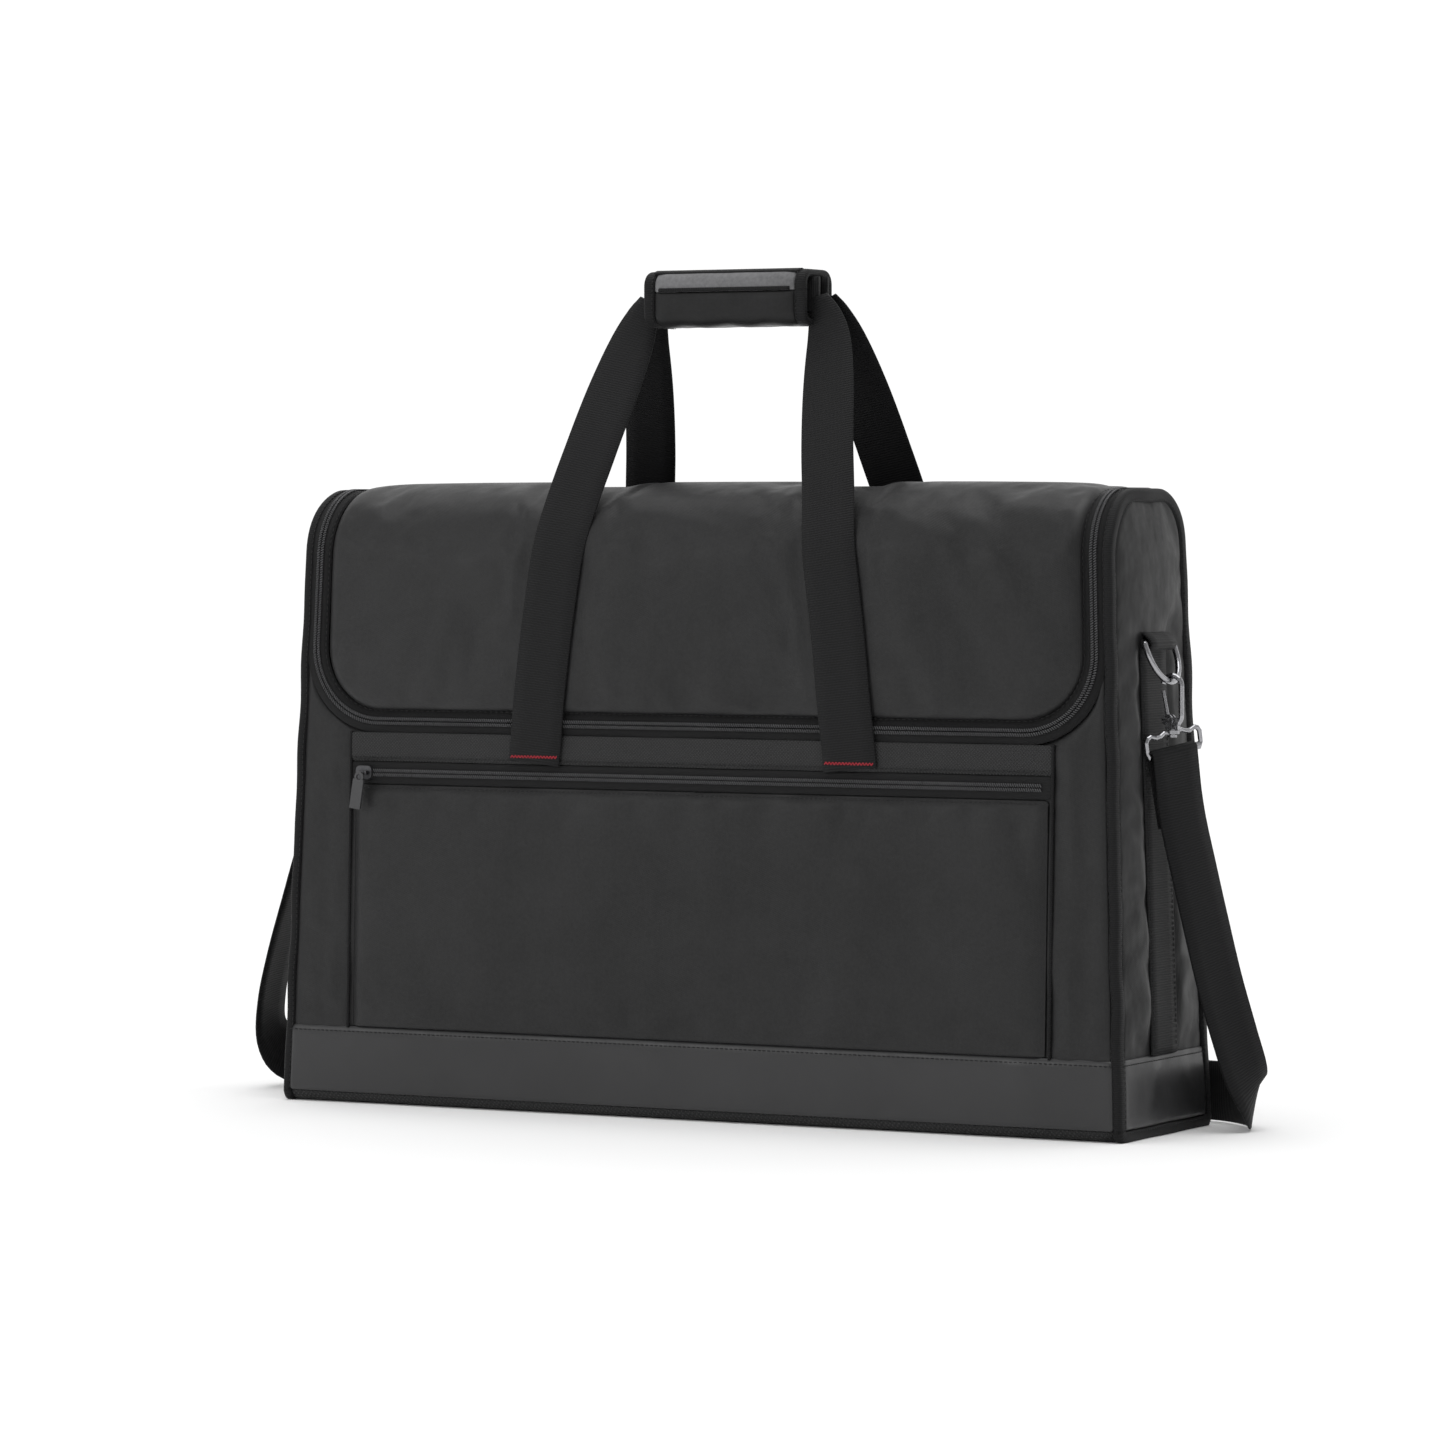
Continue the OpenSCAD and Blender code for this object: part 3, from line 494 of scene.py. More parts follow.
def ribbed_tape(name, colour, pitch=0.0014, roughness=0.6, depth=0.00016, light=1.6):
    """Woven tape or webbing with ribs across its length, and long threads along it."""
    f = Finish(name, colour, roughness, 0.14, sheen=0.03)
    ribs = f.bands(pitch, "Y", "UV")
    ends = f.bands(pitch * 0.62, "X", "UV")
    f.vary_colour(f.sum(ribs, ends, "MULTIPLY"), 0.7, light, 0.05, 0.75)
    f.bump(ribs, depth)
    f.bump(ends, depth * 0.3)
    f.bump(f.noise(220, 3), 0.0002, 0.4)
    return f.material


def plated_metal(name, colour, roughness):
    """Plated wire with faint polishing marks and a little tarnish."""
    f = Finish(name, colour, roughness, metallic=1.0)
    f.vary_colour(f.noise(180, 3), 0.82, 1.05)
    f.vary_roughness(f.noise(420, 3), roughness * 0.7, roughness * 1.6)
    f.bump(f.noise(900, 2), 0.00003)
    return f.material


def moulded(name, colour, roughness=0.45, grain=700):
    """Moulded plastic or board with a fine grain and uneven gloss."""
    f = Finish(name, colour, roughness, 0.45)
    f.vary_colour(f.noise(40, 3), 0.88, 1.12)
    f.vary_roughness(f.noise(300, 2), roughness - 0.06, roughness + 0.08)
    f.bump(f.noise(grain, 2), 0.00004)
    return f.material


def quilted_lining(name, colour):
    """Plain lining cloth with a fine ripstop grid."""
    f = Finish(name, colour, 0.55, 0.3, sheen=0.1)
    cell = f.sum(f.bands(0.006, "X"), f.bands(0.006, "DIAGONAL"), "MAXIMUM")
    f.vary_colour(cell, 0.8, 1.15, 0.6, 1.0)
    f.bump(cell, 0.00012)
    f.bump(f.noise(70, 3), 0.0008, 0.4)
    return f.material


def foam(name, colour):
    """Matt open foam with fine grain."""
    f = Finish(name, colour, 0.9, 0.2)
    f.vary_colour(f.noise(500, 2), 0.85, 1.1)
    f.bump(f.noise(1400, 2), 0.0002)
    return f.material


MAT = {
    "shell": coated_fabric("shell_fabric", (0.0120, 0.0120, 0.0124)),
    # Ends: a darker, less glossy copy of the shell cloth, painted shade that tones down the light falling on
    # the ends
    "end": coated_fabric("end_fabric_painted_shade", (0.0105, 0.0105, 0.0108), 0.5, specular=0.26),
    "facing": woven_fabric("facing_fabric", (0.020, 0.020, 0.0205)),
    "grip": coated_fabric("grip_fabric", (0.0085, 0.0085, 0.0088), 0.42, specular=0.24),
    # Flap face: the grip cloth made much lighter, painted light standing in for the light that falls on the
    # grip's top
    "grip_top": coated_fabric("grip_top_fabric", (0.141, 0.141, 0.145), 0.5),
    "band": smooth_coated("band_fabric", (0.029, 0.029, 0.030)),
    "base": woven_fabric("base_fabric", (0.02, 0.02, 0.0205), 0.0022),
    "binding": ribbed_tape("binding_tape", (0.011, 0.011, 0.0115), 0.0013),
    "zip_tape": ribbed_tape("zip_tape", (0.015, 0.015, 0.0155), 0.0009, light=1.4),
    "coil": moulded("zip_coil", (0.075, 0.075, 0.078), 0.32),
    "webbing": ribbed_tape("webbing", (0.0125, 0.0125, 0.013), 0.0016),
    # Back handle: a darker copy of the handle webbing, painted shade for the back handle turned away from the
    # light
    "back_webbing_painted_shade": ribbed_tape("back_webbing_painted_shade", (0.007, 0.007, 0.0075), 0.0016),
    "strap": ribbed_tape("strap_webbing", (0.008, 0.008, 0.0085), 0.0017),
    "thread": moulded("black_thread", (0.006, 0.006, 0.0065), 0.6, 1500),
    "red_thread": moulded("red_thread", (0.42, 0.02, 0.035), 0.55, 1500),
    "metal": plated_metal("bright_plate", (0.36, 0.36, 0.375), 0.2),
    "gunmetal": plated_metal("dark_plate", (0.10, 0.10, 0.105), 0.35),
    "pull": moulded("pull_tab", (0.055, 0.055, 0.057), 0.42),
    "lining": quilted_lining("lining_cloth", (0.09, 0.09, 0.095)),
    "foam": foam("foam", (0.25, 0.25, 0.26)),
    "board": moulded("board", (0.05, 0.05, 0.05), 0.6),
    "adjuster": moulded("adjuster_plastic", (0.02, 0.02, 0.021), 0.4),
}


# ---------------------------------------------------------------- shoulder strap
# Each half from its wire frame to the slide behind the bag: place, then the direction of the webbing's
# width as a turn from +X and a tilt upwards, in degrees
STRAP_ROUTES = {
    "right": [(0.309, 0, 0.236, 66, 9), (0.313, 0.003, 0.200, 66, 9), (0.319, 0.008, 0.165, 66, 9),
              (0.325, 0.014, 0.130, 66, 9), (0.331, 0.021, 0.095, 66, 9), (0.338, 0.028, 0.062, 66, 10),
              (0.344, 0.034, 0.036, 70, 18), (0.346, 0.042, 0.021, 92, 44), (0.338, 0.056, 0.020, 118, 70),
              (0.324, 0.072, 0.020, 128, 84), (0.304, 0.086, 0.020, 140, 88), (0.278, 0.092, 0.020, 160, 88),
              (0.240, 0.093, 0.020, 175, 88), (0.200, 0.094, 0.020, 180, 88), (0.160, 0.094, 0.020, 180, 88),
              (0.120, 0.094, 0.020, 180, 88), (0.080, 0.094, 0.020, 180, 88), (0.045, 0.094, 0.020, 180, 88),
              (0.014, 0.094, 0.020, 180, 88)],
    "left": [(-0.309, 0, 0.236, 114, -9), (-0.318, 0.001, 0.200, 108, -6), (-0.330, 0.002, 0.165, 102, -3),
             (-0.341, 0.003, 0.130, 98, 0), (-0.352, 0.004, 0.095, 96, 0), (-0.361, 0.006, 0.062, 94, 4),
             (-0.365, 0.012, 0.036, 90, 16), (-0.361, 0.028, 0.021, 78, 44), (-0.346, 0.048, 0.020, 60, 70),
             (-0.328, 0.068, 0.020, 52, 84), (-0.306, 0.085, 0.020, 40, 88), (-0.278, 0.092, 0.020, 20, 88),
             (-0.240, 0.093, 0.020, 5, 88), (-0.200, 0.094, 0.020, 0, 88), (-0.160, 0.094, 0.020, 0, 88),
             (-0.120, 0.094, 0.020, 0, 88), (-0.080, 0.094, 0.020, 0, 88), (-0.045, 0.094, 0.020, 0, 88),
             (-0.014, 0.094, 0.020, 0, 88)],
}
STRAP_THICK = 0.0018
FRAME_DROP = 0.0411                             # from the hook's eye to the bar the strap folds over


def strap_half(side):
    """Flat webbing carried along its route, with the width turned as the route says. The section bows a
    little where the webbing folds at the floor."""
    line = spline(STRAP_ROUTES[side], 150)
    path, turn, tilt = line[:, :3], np.radians(line[:, 3]), np.radians(line[:, 4])
    t = tangents(path)
    width = np.stack([np.cos(turn) * np.cos(tilt), np.sin(turn) * np.cos(tilt), np.sin(tilt)], -1)
    width = unit(width - t * (width * t).sum(1, keepdims=True))
    bow = 0.0012 * np.sin(np.linspace(0, 5 * math.pi, len(path)))
    section = np.stack([band_section(WEBBING / 2, STRAP_THICK, lift=b) for b in bow])
    obj = sweep(f"strap_{side}_webbing", path, width, np.cross(t, width), section)
    keep_above_floor(obj)
    finish_piece(obj, None, MAT["strap"], [f"strap_{side}"])
    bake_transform(obj)
    return obj, path


def strap_fold(side, path):
    """End of the webbing folded over the frame's lower bar: down in front, over the bar and down behind."""
    s = 1 if side == "right" else -1
    turn, tilt = math.radians(66), math.radians(9)
    along = np.array([s * math.cos(turn) * math.cos(tilt), math.sin(turn) * math.cos(tilt), math.sin(tilt)])
    bar = HOOK * [s, 1, 1] - [0, 0, FRAME_DROP]
    down = unit(path[6] - path[0])
    down = unit(down - along * (down @ along))
    out = np.cross(along, down) * s
    out = out * np.sign(out[0] * s)
    r = 0.0027
    turns = np.radians(np.linspace(0, 180, 12))[:, None]
    arc = bar + r * (out * np.cos(turns) - down * np.sin(turns))
    route = np.concatenate([[path[10] - out * 0.0006, path[5] + out * 0.0004], arc,
                            [bar - out * r + down * 0.014, bar - out * r * 1.1 + down * 0.046]])
    route = even(route, 60)
    t = tangents(route)
    across = np.tile(along, (60, 1))
    obj = sweep(f"{side}_strap_fold", route, across, unit(np.cross(t, across)),
                band_section(WEBBING / 2 - 0.0002, 0.0017))
    finish_piece(obj, f"{side}_ring", MAT["strap"])


def make_straps():
    """Both halves of the shoulder strap, their folds round the frames and the slide's web."""
    for side in ("right", "left"):
        obj, path = strap_half(side)
        strap_fold(side, path)
    x = np.linspace(-0.0165, 0.0165, 24)
    path = np.stack([x, np.full(24, 0.0912), np.full(24, 0.020)], -1)
    obj = sweep("slide_webbing", path, np.tile([0.0, 0, 1], (24, 1)), np.tile([0.0, -1, 0], (24, 1)),
                band_section(WEBBING / 2 - 0.001, 0.0016))
    finish_piece(obj, "bag", MAT["strap"])


make_straps()


# ---------------------------------------------------------------- cloth
def settle(sheets, frames=20):
    """Swells sheets of cloth in one run: each is pinned where told, spare cloth makes it pucker and
    pressure rounds it. A sheet is its grid, its pins, its pressure, its share of spare cloth and the most
    it may move."""
    made = {}
    for name, (grid, pins, pressure, spare, cap) in sheets.items():
        rows, columns = grid.shape[:2]
        obj = make_object("cloth_" + name, grid, grid_faces(rows, columns))
        group = obj.vertex_groups.new(name="pins")
        group.add(np.flatnonzero(pins.ravel()).tolist(), 1.0, "REPLACE")
        settings = obj.modifiers.new("Cloth", "CLOTH").settings
        settings.quality = 6
        settings.mass = 0.25
        settings.tension_stiffness = settings.compression_stiffness = 25
        settings.shear_stiffness = 8
        settings.bending_stiffness = 0.8
        settings.vertex_group_mass = "pins"
        settings.use_pressure = True
        settings.uniform_pressure_force = pressure
        settings.shrink_min = -spare
        settings.effector_weights.gravity = 0
        made[name] = obj
    for f in range(1, frames + 1):
        bpy.context.scene.frame_set(f)
    graph = bpy.context.evaluated_depsgraph_get()
    result = {}
    for name, obj in made.items():
        grid, cap = sheets[name][0], sheets[name][4]
        co = np.zeros(grid.size, np.float32)
        obj.evaluated_get(graph).data.vertices.foreach_get("co", co)
        move = co.reshape(grid.shape) - grid
        size = np.linalg.norm(move, axis=-1, keepdims=True)
        result[name] = grid + move * np.tanh(size / cap) * cap / np.maximum(size, 1e-9)
    for obj in made.values():
        bpy.data.objects.remove(obj)
    bpy.context.scene.frame_set(1)
    return result


def border(shape, width=1):
    """True in the outer rows and columns of a grid, and false inside."""
    pins = np.ones(shape, bool)
    pins[width:-width, width:-width] = False
    return pins


# Soft folds in each panel: middle, half length, turn from upright, width and height
LID_FOLDS = [(-0.185, 0.300, 0.035, 18, 0.008, 0.0014), (-0.160, 0.296, 0.028, 10, 0.007, -0.0010),
             (-0.060, 0.290, 0.030, -6, 0.010, 0.0008), (0.020, 0.288, 0.026, 8, 0.010, 0.0009),
             (0.165, 0.300, 0.050, -24, 0.010, 0.0016), (0.200, 0.308, 0.052, -30, 0.009, -0.0014),
             (0.232, 0.330, 0.045, -34, 0.011, 0.0014), (0.190, 0.275, 0.022, -10, 0.007, 0.0010),
             (-0.240, 0.320, 0.045, 30, 0.010, 0.0010)]
POCKET_FOLDS = [(-0.150, 0.130, 0.060, 8, 0.018, 0.0010), (0.020, 0.165, 0.045, -12, 0.014, 0.0012),
                (0.065, 0.150, 0.060, -18, 0.016, -0.0010), (0.120, 0.110, 0.060, 20, 0.018, 0.0010),
                (-0.050, 0.090, 0.040, -20, 0.016, -0.0008)]
# Long upright pleats beside the pocket, on the fixed front
SIDE_FOLDS = [(0.268, 0.150, 0.100, 0, 0.0035, 0.0016), (0.279, 0.140, 0.100, 1, 0.0040, -0.0006),
              (0.289, 0.150, 0.110, 0, 0.0040, 0.0012), (-0.266, 0.150, 0.110, 0, 0.0030, 0.0012),
              (-0.281, 0.140, 0.090, 1, 0.0050, 0.0009)]
BAND_FOLDS = [(-0.180, 0.030, 0.022, 35, 0.010, 0.0007), (-0.020, 0.028, 0.022, -30, 0.012, 0.0008),
              (0.150, 0.026, 0.024, 40, 0.010, -0.0007), (0.240, 0.030, 0.024, -25, 0.009, 0.0008)]


# Middle of a handle's leg and half its width, from the foot up to the grip
LEG = [(0.115, 0.2265, 0.019), (0.106, 0.310, 0.019), (0.095, 0.385, 0.019), (0.086, 0.430, 0.019),
       (0.078, 0.470, 0.0185), (0.072, 0.498, 0.0160), (0.0665, 0.516, 0.0115), (0.0625, 0.527, 0.0060)]
LEG_OUT = 0.0050                                # the webbing's middle over the skin where it lies on the lid


def under_legs(x, z):
    """1 where a handle's leg lies on the lid and 0 away from it, with a soft edge."""
    middle = np.interp(z, [p[1] for p in LEG], [p[0] for p in LEG])
    return smooth_step((WEBBING / 2 + 0.012 - np.abs(np.abs(x) - middle)) / 0.010)


def lid_grid():
    """Outer face of the lid inside its zip tape. Rows step round the corner arc and then along the
    outline to the hinge; each row runs between the two side edges. The edge is rolled and the middle is
    crowned."""
    radius = ZIP_CORNER - TAPE
    arc = np.linspace(0, math.pi / 2, 10)[:-1]
    corner_z = ZIP_Z + ZIP_CORNER
    run = np.concatenate([front_run(corner_z - radius * np.cos(arc)),
                          np.linspace(front_run(corner_z), RUN_HINGE - 0.0004, 56)])
    z_front = np.minimum(run * math.cos(FRONT_TILT), 1.0)
    straight = half_length(height_at(run)) - ZIP_SIDE - ZIP_CORNER
    bulge = np.concatenate([np.sin(arc), np.ones(len(run) - len(arc))]) * radius
    x = np.linspace(-1, 1, 117) * (straight + bulge)[:, None]
    qx, qz = np.abs(x) - straight[:, None], (corner_z - z_front)[:, None] * np.ones_like(x)
    edge = radius - np.hypot(np.maximum(qx, 0), np.maximum(qz, 0)) - np.minimum(np.maximum(qx, qz), 0)
    back = RUN_HINGE - run[:, None]
    out = rolled(np.maximum(edge, 0), 0.0042, 0.0026) + 0.0022 * (1 - np.exp(-edge / 0.05))
    out = out * smooth_step(back / 0.012) + folds(x, z_front[:, None], LID_FOLDS)
    out += 0.0005 * np.sin(x * 95 + 1.5 * np.sin(z_front[:, None] * 40)) * np.exp(-edge / 0.02)
    press = under_legs(x, np.where(run < RUN_TOP, height_at(run), 0.4)[:, None])
    out = out * (1 - press) + np.minimum(out, 0.0034) * press
    return x, run, out, edge


def front_grid():
    """Outer face of the fixed front, from the base band up to the zip tape round the lid's opening."""
    share = np.linspace(-1, 1, 119)
    straight = half_length(ZIP_Z) - ZIP_SIDE - ZIP_CORNER
    over = np.clip(np.abs(share) * (half_length(ZIP_Z) - BINDING + 0.001) - straight, 0, None)
    top = ZIP_Z + ZIP_CORNER - np.sqrt(np.clip((ZIP_CORNER + TAPE) ** 2 - over ** 2, 1e-8, None))
    low = BAND_TOP - 0.002
    z = low + (top - low) * np.linspace(0, 1, 42)[:, None]
    x = share * (half_length(z) - BINDING + 0.001)
    out = rolled(np.maximum(top - z, 0), 0.0026, 0.0010) + folds(x, z, SIDE_FOLDS)
    between = smooth_step((POCKET_HALF + 0.001 - np.abs(x)) / 0.004)
    under = between * smooth_step((ZIP_Z - TAPE + 0.003 - z) / 0.004)
    return x, z, out * (1 - under) - 0.0014 * under, under > 0.02


def back_grid():
    """Outer face of the back, from the lid's hinge seam down to the base band."""
    run = np.linspace(RUN_HINGE + 0.0004, back_run(BAND_TOP - 0.002), 70)[::-1]
    x = np.linspace(1, -1, 117) * (half_length(height_at(run)) - BINDING + 0.001)[:, None]
    away = np.minimum(run[:, None] - RUN_HINGE, 1)
    out = rolled(np.clip(away, 0, None), 0.002, 0.0008) + 0 * x
    return x, run, out


def end_middle(z):
    """Middle of the bag's depth at a height."""
    return (FRONT_LEAN - BACK_LEAN) / TOP * z / 2


def end_edges(z, inset):
    """Front and rear limits of an end at a height, moved in from the outline by inset."""
    r_front, r_rear = FRONT_ARCH - inset, REAR_ARCH - inset
    front = -HALF_DEPTH + FRONT_LEAN / TOP * z + inset / math.cos(FRONT_TILT)
    rear = HALF_DEPTH - BACK_LEAN / TOP * z - inset / math.cos(BACK_TILT)
    in_front = FRONT_CENTRE[0] - np.sqrt(np.clip(r_front ** 2 - (z - FRONT_CENTRE[1]) ** 2, 0, None))
    in_rear = REAR_CENTRE[0] + np.sqrt(np.clip(r_rear ** 2 - (z - REAR_CENTRE[1]) ** 2, 0, None))
    return np.where(z > FRONT_CENTRE[1], in_front, front), np.where(z > REAR_CENTRE[1], in_rear, rear)


END_INSET = 0.0015                              # the end panel lies this far inside its binding
END_EDGE = 0.006                                # and starts this far in from the outline


def end_bulge(y, z):
    """How far the end panel swells, highest between its edges and none at the band or the top."""
    front, rear = end_edges(z, END_EDGE)
    share = np.clip((y - front) / (rear - front), 0, 1)
    under_webbing = (smooth_step((WEBBING / 2 + 0.007 - np.abs(y - end_middle(z))) / 0.007)
                     * smooth_step((0.318 - z) / 0.02))
    return (0.0030 * np.sin(math.pi * share) ** 0.8 * smooth_step((z - BAND_TOP) / 0.03)
            * smooth_step((TOP - 0.006 - z) / 0.04) * (1 - 0.85 * under_webbing))


def end_grid():
    """Outer face of the right end panel, rows from the band up, columns from the front to the rear."""
    lift = np.linspace(0, math.pi / 2, 12)[1:]
    z = np.concatenate([np.linspace(BAND_TOP - 0.002, FRONT_CENTRE[1], 64),
                        FRONT_CENTRE[1] + (FRONT_ARCH - END_EDGE) * np.sin(lift)])[:, None]
    front, rear = end_edges(z, END_EDGE)
    y = front + (rear - front) * np.linspace(0, 1, 25)
    x = half_length(z) - END_INSET + end_bulge(y, z) + 0 * y
    return np.stack([x, y, z + 0 * y], -1)


def make_covers():
    """The padded covers: lid, front, back and both ends, swelled together as cloth."""
    lx, lrun, lout, ledge = lid_grid()
    fx, fz, fout, covered = front_grid()
    bx, brun, bout = back_grid()
    lid = skin(lx, lrun[:, None], lout)
    front = skin(fx, front_run(fz), fout)
    back = skin(bx, brun[:, None], bout)
    end = end_grid()
    webbing_row = (np.abs(end[..., 1] - end_middle(end[..., 2])) < WEBBING / 2) & (end[..., 2] < 0.30)
    left = end[:, ::-1] * [-1, 1, 1]
    pressed = under_legs(lx, np.where(lrun < RUN_TOP, height_at(lrun), 0.4)[:, None]) > 0.5
    lid_pins = border(lx.shape, 2) | (ledge < 0.003) | pressed
    made = settle({
        "lid": (lid, lid_pins, 1.6, 0.012, 0.0020),
        "front": (front, border(fx.shape, 2) | covered, 1.0, 0.010, 0.0010),
        "back": (back, border(bx.shape, 2), 2.0, 0.012, 0.0026),
        "right": (end, border(end.shape[:2], 1) | webbing_row, 1.5, 0.014, 0.0022),
        "left": (left, border(left.shape[:2], 1) | webbing_row[:, ::-1], 1.5, 0.016, 0.0022),
    })
    inner = {
        "lid": skin(lx, lrun[:, None], -PAD), "front": skin(fx, front_run(fz), -PAD),
        "back": skin(bx, brun[:, None], -PAD),
        "right": end - np.stack([PAD + end_bulge(end[..., 1], end[..., 2]), 0 * end[..., 1],
                                             0 * end[..., 1]], -1),
    }
    inner["left"] = inner["right"][:, ::-1] * [-1, 1, 1]
    for name, body, nodes, slot, material in (
            ("lid", "lid", ["lid_panel", "lid_foam"], "shell_fabric", "shell"),
            ("front", "bag", ["front_panel", "front_foam"], "shell_fabric", "shell"),
            ("back", "bag", ["back_panel", "back_foam"], "shell_fabric", "shell"),
            ("right", "bag", ["right_end_panel", "right_end_foam"], "shell_fabric", "end"),
            ("left", "bag", ["left_end_panel", "left_end_foam"], "shell_fabric", "end")):
        label = f"{name}_end_cover" if name in ("left", "right") else f"{name}_cover"
        obj = pad(label, made[name], inner[name])
        finish_piece(obj, body, MAT[material], nodes)


make_covers()


# ---------------------------------------------------------------- bindings, bands and base
def edge_loop(inset, step=0.004):
    """Closed line round the bag's side outline, with round base corners, moved in by inset: y, z and the
    outward normal, starting at the front corner of the base."""
    r = BASE_CORNER
    run = np.linspace(front_run(r), back_run(r), int(RUN_END / step))
    normal = normal_at(run)[:, 1:]
    wall = np.stack([np.interp(run, RUN, OUT_Y), np.interp(run, RUN, OUT_Z)], -1)
    corner = np.linspace(0, math.pi / 2, 7)
    rear_n = np.stack([np.cos(corner), -np.sin(corner)], -1)
    front_n = np.stack([-np.sin(corner), -np.cos(corner)], -1)
    rear = np.array([HALF_DEPTH - r, r]) + r * rear_n
    front = np.array([-HALF_DEPTH + r, r]) + r * front_n
    flat_y = np.linspace(HALF_DEPTH - r, -HALF_DEPTH + r, 28)[1:-1]
    flat = np.stack([flat_y, 0 * flat_y], -1)
    points = np.concatenate([wall, rear[1:], flat, front[:-1]])
    normals = np.concatenate([normal, rear_n[1:], np.tile([0.0, -1.0], (len(flat), 1)), front_n[:-1]])
    return points - unit(normals) * inset, unit(normals)


def super_oval(a, b, power=3.0, count=20):
    """Rounded box: the closed curve with |x/a|^power + |y/b|^power = 1."""
    w = np.linspace(0, 2 * math.pi, count, endpoint=False)
    c, s = np.cos(w), np.sin(w)
    p = 2 / power
    return np.stack([a * np.sign(c) * np.abs(c) ** p, b * np.sign(s) * np.abs(s) ** p], -1)


def make_binding(side):
    """Tape folded over the edge where an end meets the body: a rounded box section round the whole
    outline."""
    s = 1 if side == "right" else -1
    line, normal = edge_loop(0.0026)
    fine = np.sin(np.linspace(0, 34 * math.pi, len(line)))
    sway = 0.0006 * fine * np.sin(np.linspace(0, 6 * math.pi, len(line)))
    x = s * (half_length(line[:, 1]) - BINDING / 2 + sway)
    path = np.stack([x, line[:, 0], line[:, 1]], -1)
    up = np.stack([0 * x, normal[:, 0], normal[:, 1]], -1)
    closed = np.roll(path, -1, 0) - np.roll(path, 1, 0)
    across = unit(np.cross(up, unit(closed)))
    obj = sweep(f"{side}_edge_binding", path, across, up, super_oval(0.0034, 0.0044), closed=True)
    keep_above_floor(obj)
    finish_piece(obj, "bag", MAT["binding"], [f"{side}_binding"])
    inner, _ = edge_loop(0.0055)
    row = np.stack([s * (half_length(inner[:, 1]) + 0.0002), inner[:, 0], inner[:, 1]], -1)
    stitches(f"{side}_binding_stitches", row[:-4], [s, 0, 0], "bag")
    seam = path + up * 0.0040 - [s * 0.0022, 0, 0]
    stitches(f"{side}_binding_top_stitches", seam[:-36], up[:-36], "bag")


BAND_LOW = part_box("front_base_band")[0].z


def make_bands():
    """Smooth band round the base: a thin cover with a folded top edge, faint buckles and a stitch line."""
    z = BAND_LOW - 0.002 + (BAND_TOP + 0.001 - BAND_LOW + 0.002) * np.linspace(0, 1, 14)[:, None]
    share = np.linspace(-1, 1, 119)
    top = rolled(BAND_TOP + 0.001 - z, 0.0016, 0.0022)
    for name, turn_run, sign in (("front", front_run, 1), ("back", back_run, -1)):
        x = share * sign * (half_length(z) - BINDING + 0.001)
        out = top + folds(x, z, BAND_FOLDS) + 0.0006 * np.sin(x * 31) * np.sin(math.pi * (z / BAND_TOP))
        obj = pad(f"{name}_band", skin(x, turn_run(z), out), skin(x, turn_run(z), -0.0004 + 0 * x))
        finish_piece(obj, "bag", MAT["band"], [f"{name}_base_band"])
        seam = x[0] * 0.999
        run = turn_run(BAND_TOP - 0.0026)
        stitches(f"{name}_band_stitches", skin(seam, run, 0.0024), normal_at(np.full(len(seam), run)), "bag")
    for side, s in (("right", 1), ("left", -1)):
        front, rear = end_edges(z, END_EDGE)
        y = front + (rear - front) * np.linspace(0, 1, 27)[::s]
        swell = 0.0008 * np.sin(math.pi * np.clip(z / BAND_TOP, 0, 1))
        creases = folds(y, z, [(-0.02, 0.03, 0.02, 30, 0.007, 0.0007),
                               (0.03, 0.03, 0.02, -25, 0.008, 0.0007)])
        face = s * (half_length(z) - END_INSET + 0.0008 + swell + creases)
        outer = np.stack([face, y, z + 0 * y], -1)
        inner = np.stack([0 * y + s * (half_length(z) - END_INSET - 0.0016), y, z + 0 * y], -1)
        obj = pad(f"{side}_end_band", outer, inner)
        finish_piece(obj, "bag", MAT["band"], [f"{side}_base_band"])
        line = np.stack([0 * y[0] + s * (half_length(BAND_TOP) - END_INSET + 0.0014), y[0],
                         0 * y[0] + BAND_TOP - 0.0026], -1)
        stitches(f"{side}_band_stitches", line, [s, 0, 0], "bag")


def make_base():
    """Underside cloth: it follows the outline from the front band round the base corners to the back
    band."""
    loop, normal = edge_loop(0.0)
    low = np.flatnonzero(loop[:, 1] < BAND_LOW + 0.0015)
    break_at = np.flatnonzero(np.diff(low) > 1)[0]
    order = np.concatenate([np.arange(low[break_at + 1], len(loop)), np.arange(0, low[break_at] + 1)])
    line, normal = loop[order][::-1], normal[order][::-1]
    x = np.linspace(1, -1, 60) * (HALF_LENGTH - BINDING + 0.001)
    shape = (len(line), len(x))
    face = lambda inset: np.stack([np.broadcast_to(x, shape),
                                   np.broadcast_to((line[:, 0] - normal[:, 0] * inset)[:, None], shape),
                                   np.broadcast_to((line[:, 1] - normal[:, 1] * inset)[:, None], shape)], -1)
    obj = pad("base_cover", face(0.0006), face(0.0016), subdivide=0)
    finish_piece(obj, "bag", MAT["base"], ["base_panel"])


for each_side in ("left", "right"):
    make_binding(each_side)
make_bands()
make_base()


# ---------------------------------------------------------------- fixed front: pocket, facing, zips
def coil_row(name, centres, along, normal, body):
    """Zip coil: a row of small slanted bars, one for each turn of the coil."""
    lean = unit(along + 0.55 * np.cross(normal, along))
    across = unit(np.cross(normal, lean))
    obj = grains(name, centres + normal * 0.0006, across, normal, 0.0030, 0.0010, 0.0011)
    return finish_piece(obj, body, MAT["coil"])


def zip_pair(name, x, run, out, gap, body_a, body_b):
    """Two coils side by side along a seam on the bag's outer face; the seam is x and run in step."""
    path = skin(x, run, out)
    normal = unit(normal_at(run))
    along = tangents(path)
    side = unit(np.cross(normal, along))
    coil_row(f"{name}_coil_a", path - side * gap, along, normal, body_a)
    coil_row(f"{name}_coil_b", path + side * gap, along, normal, body_b)


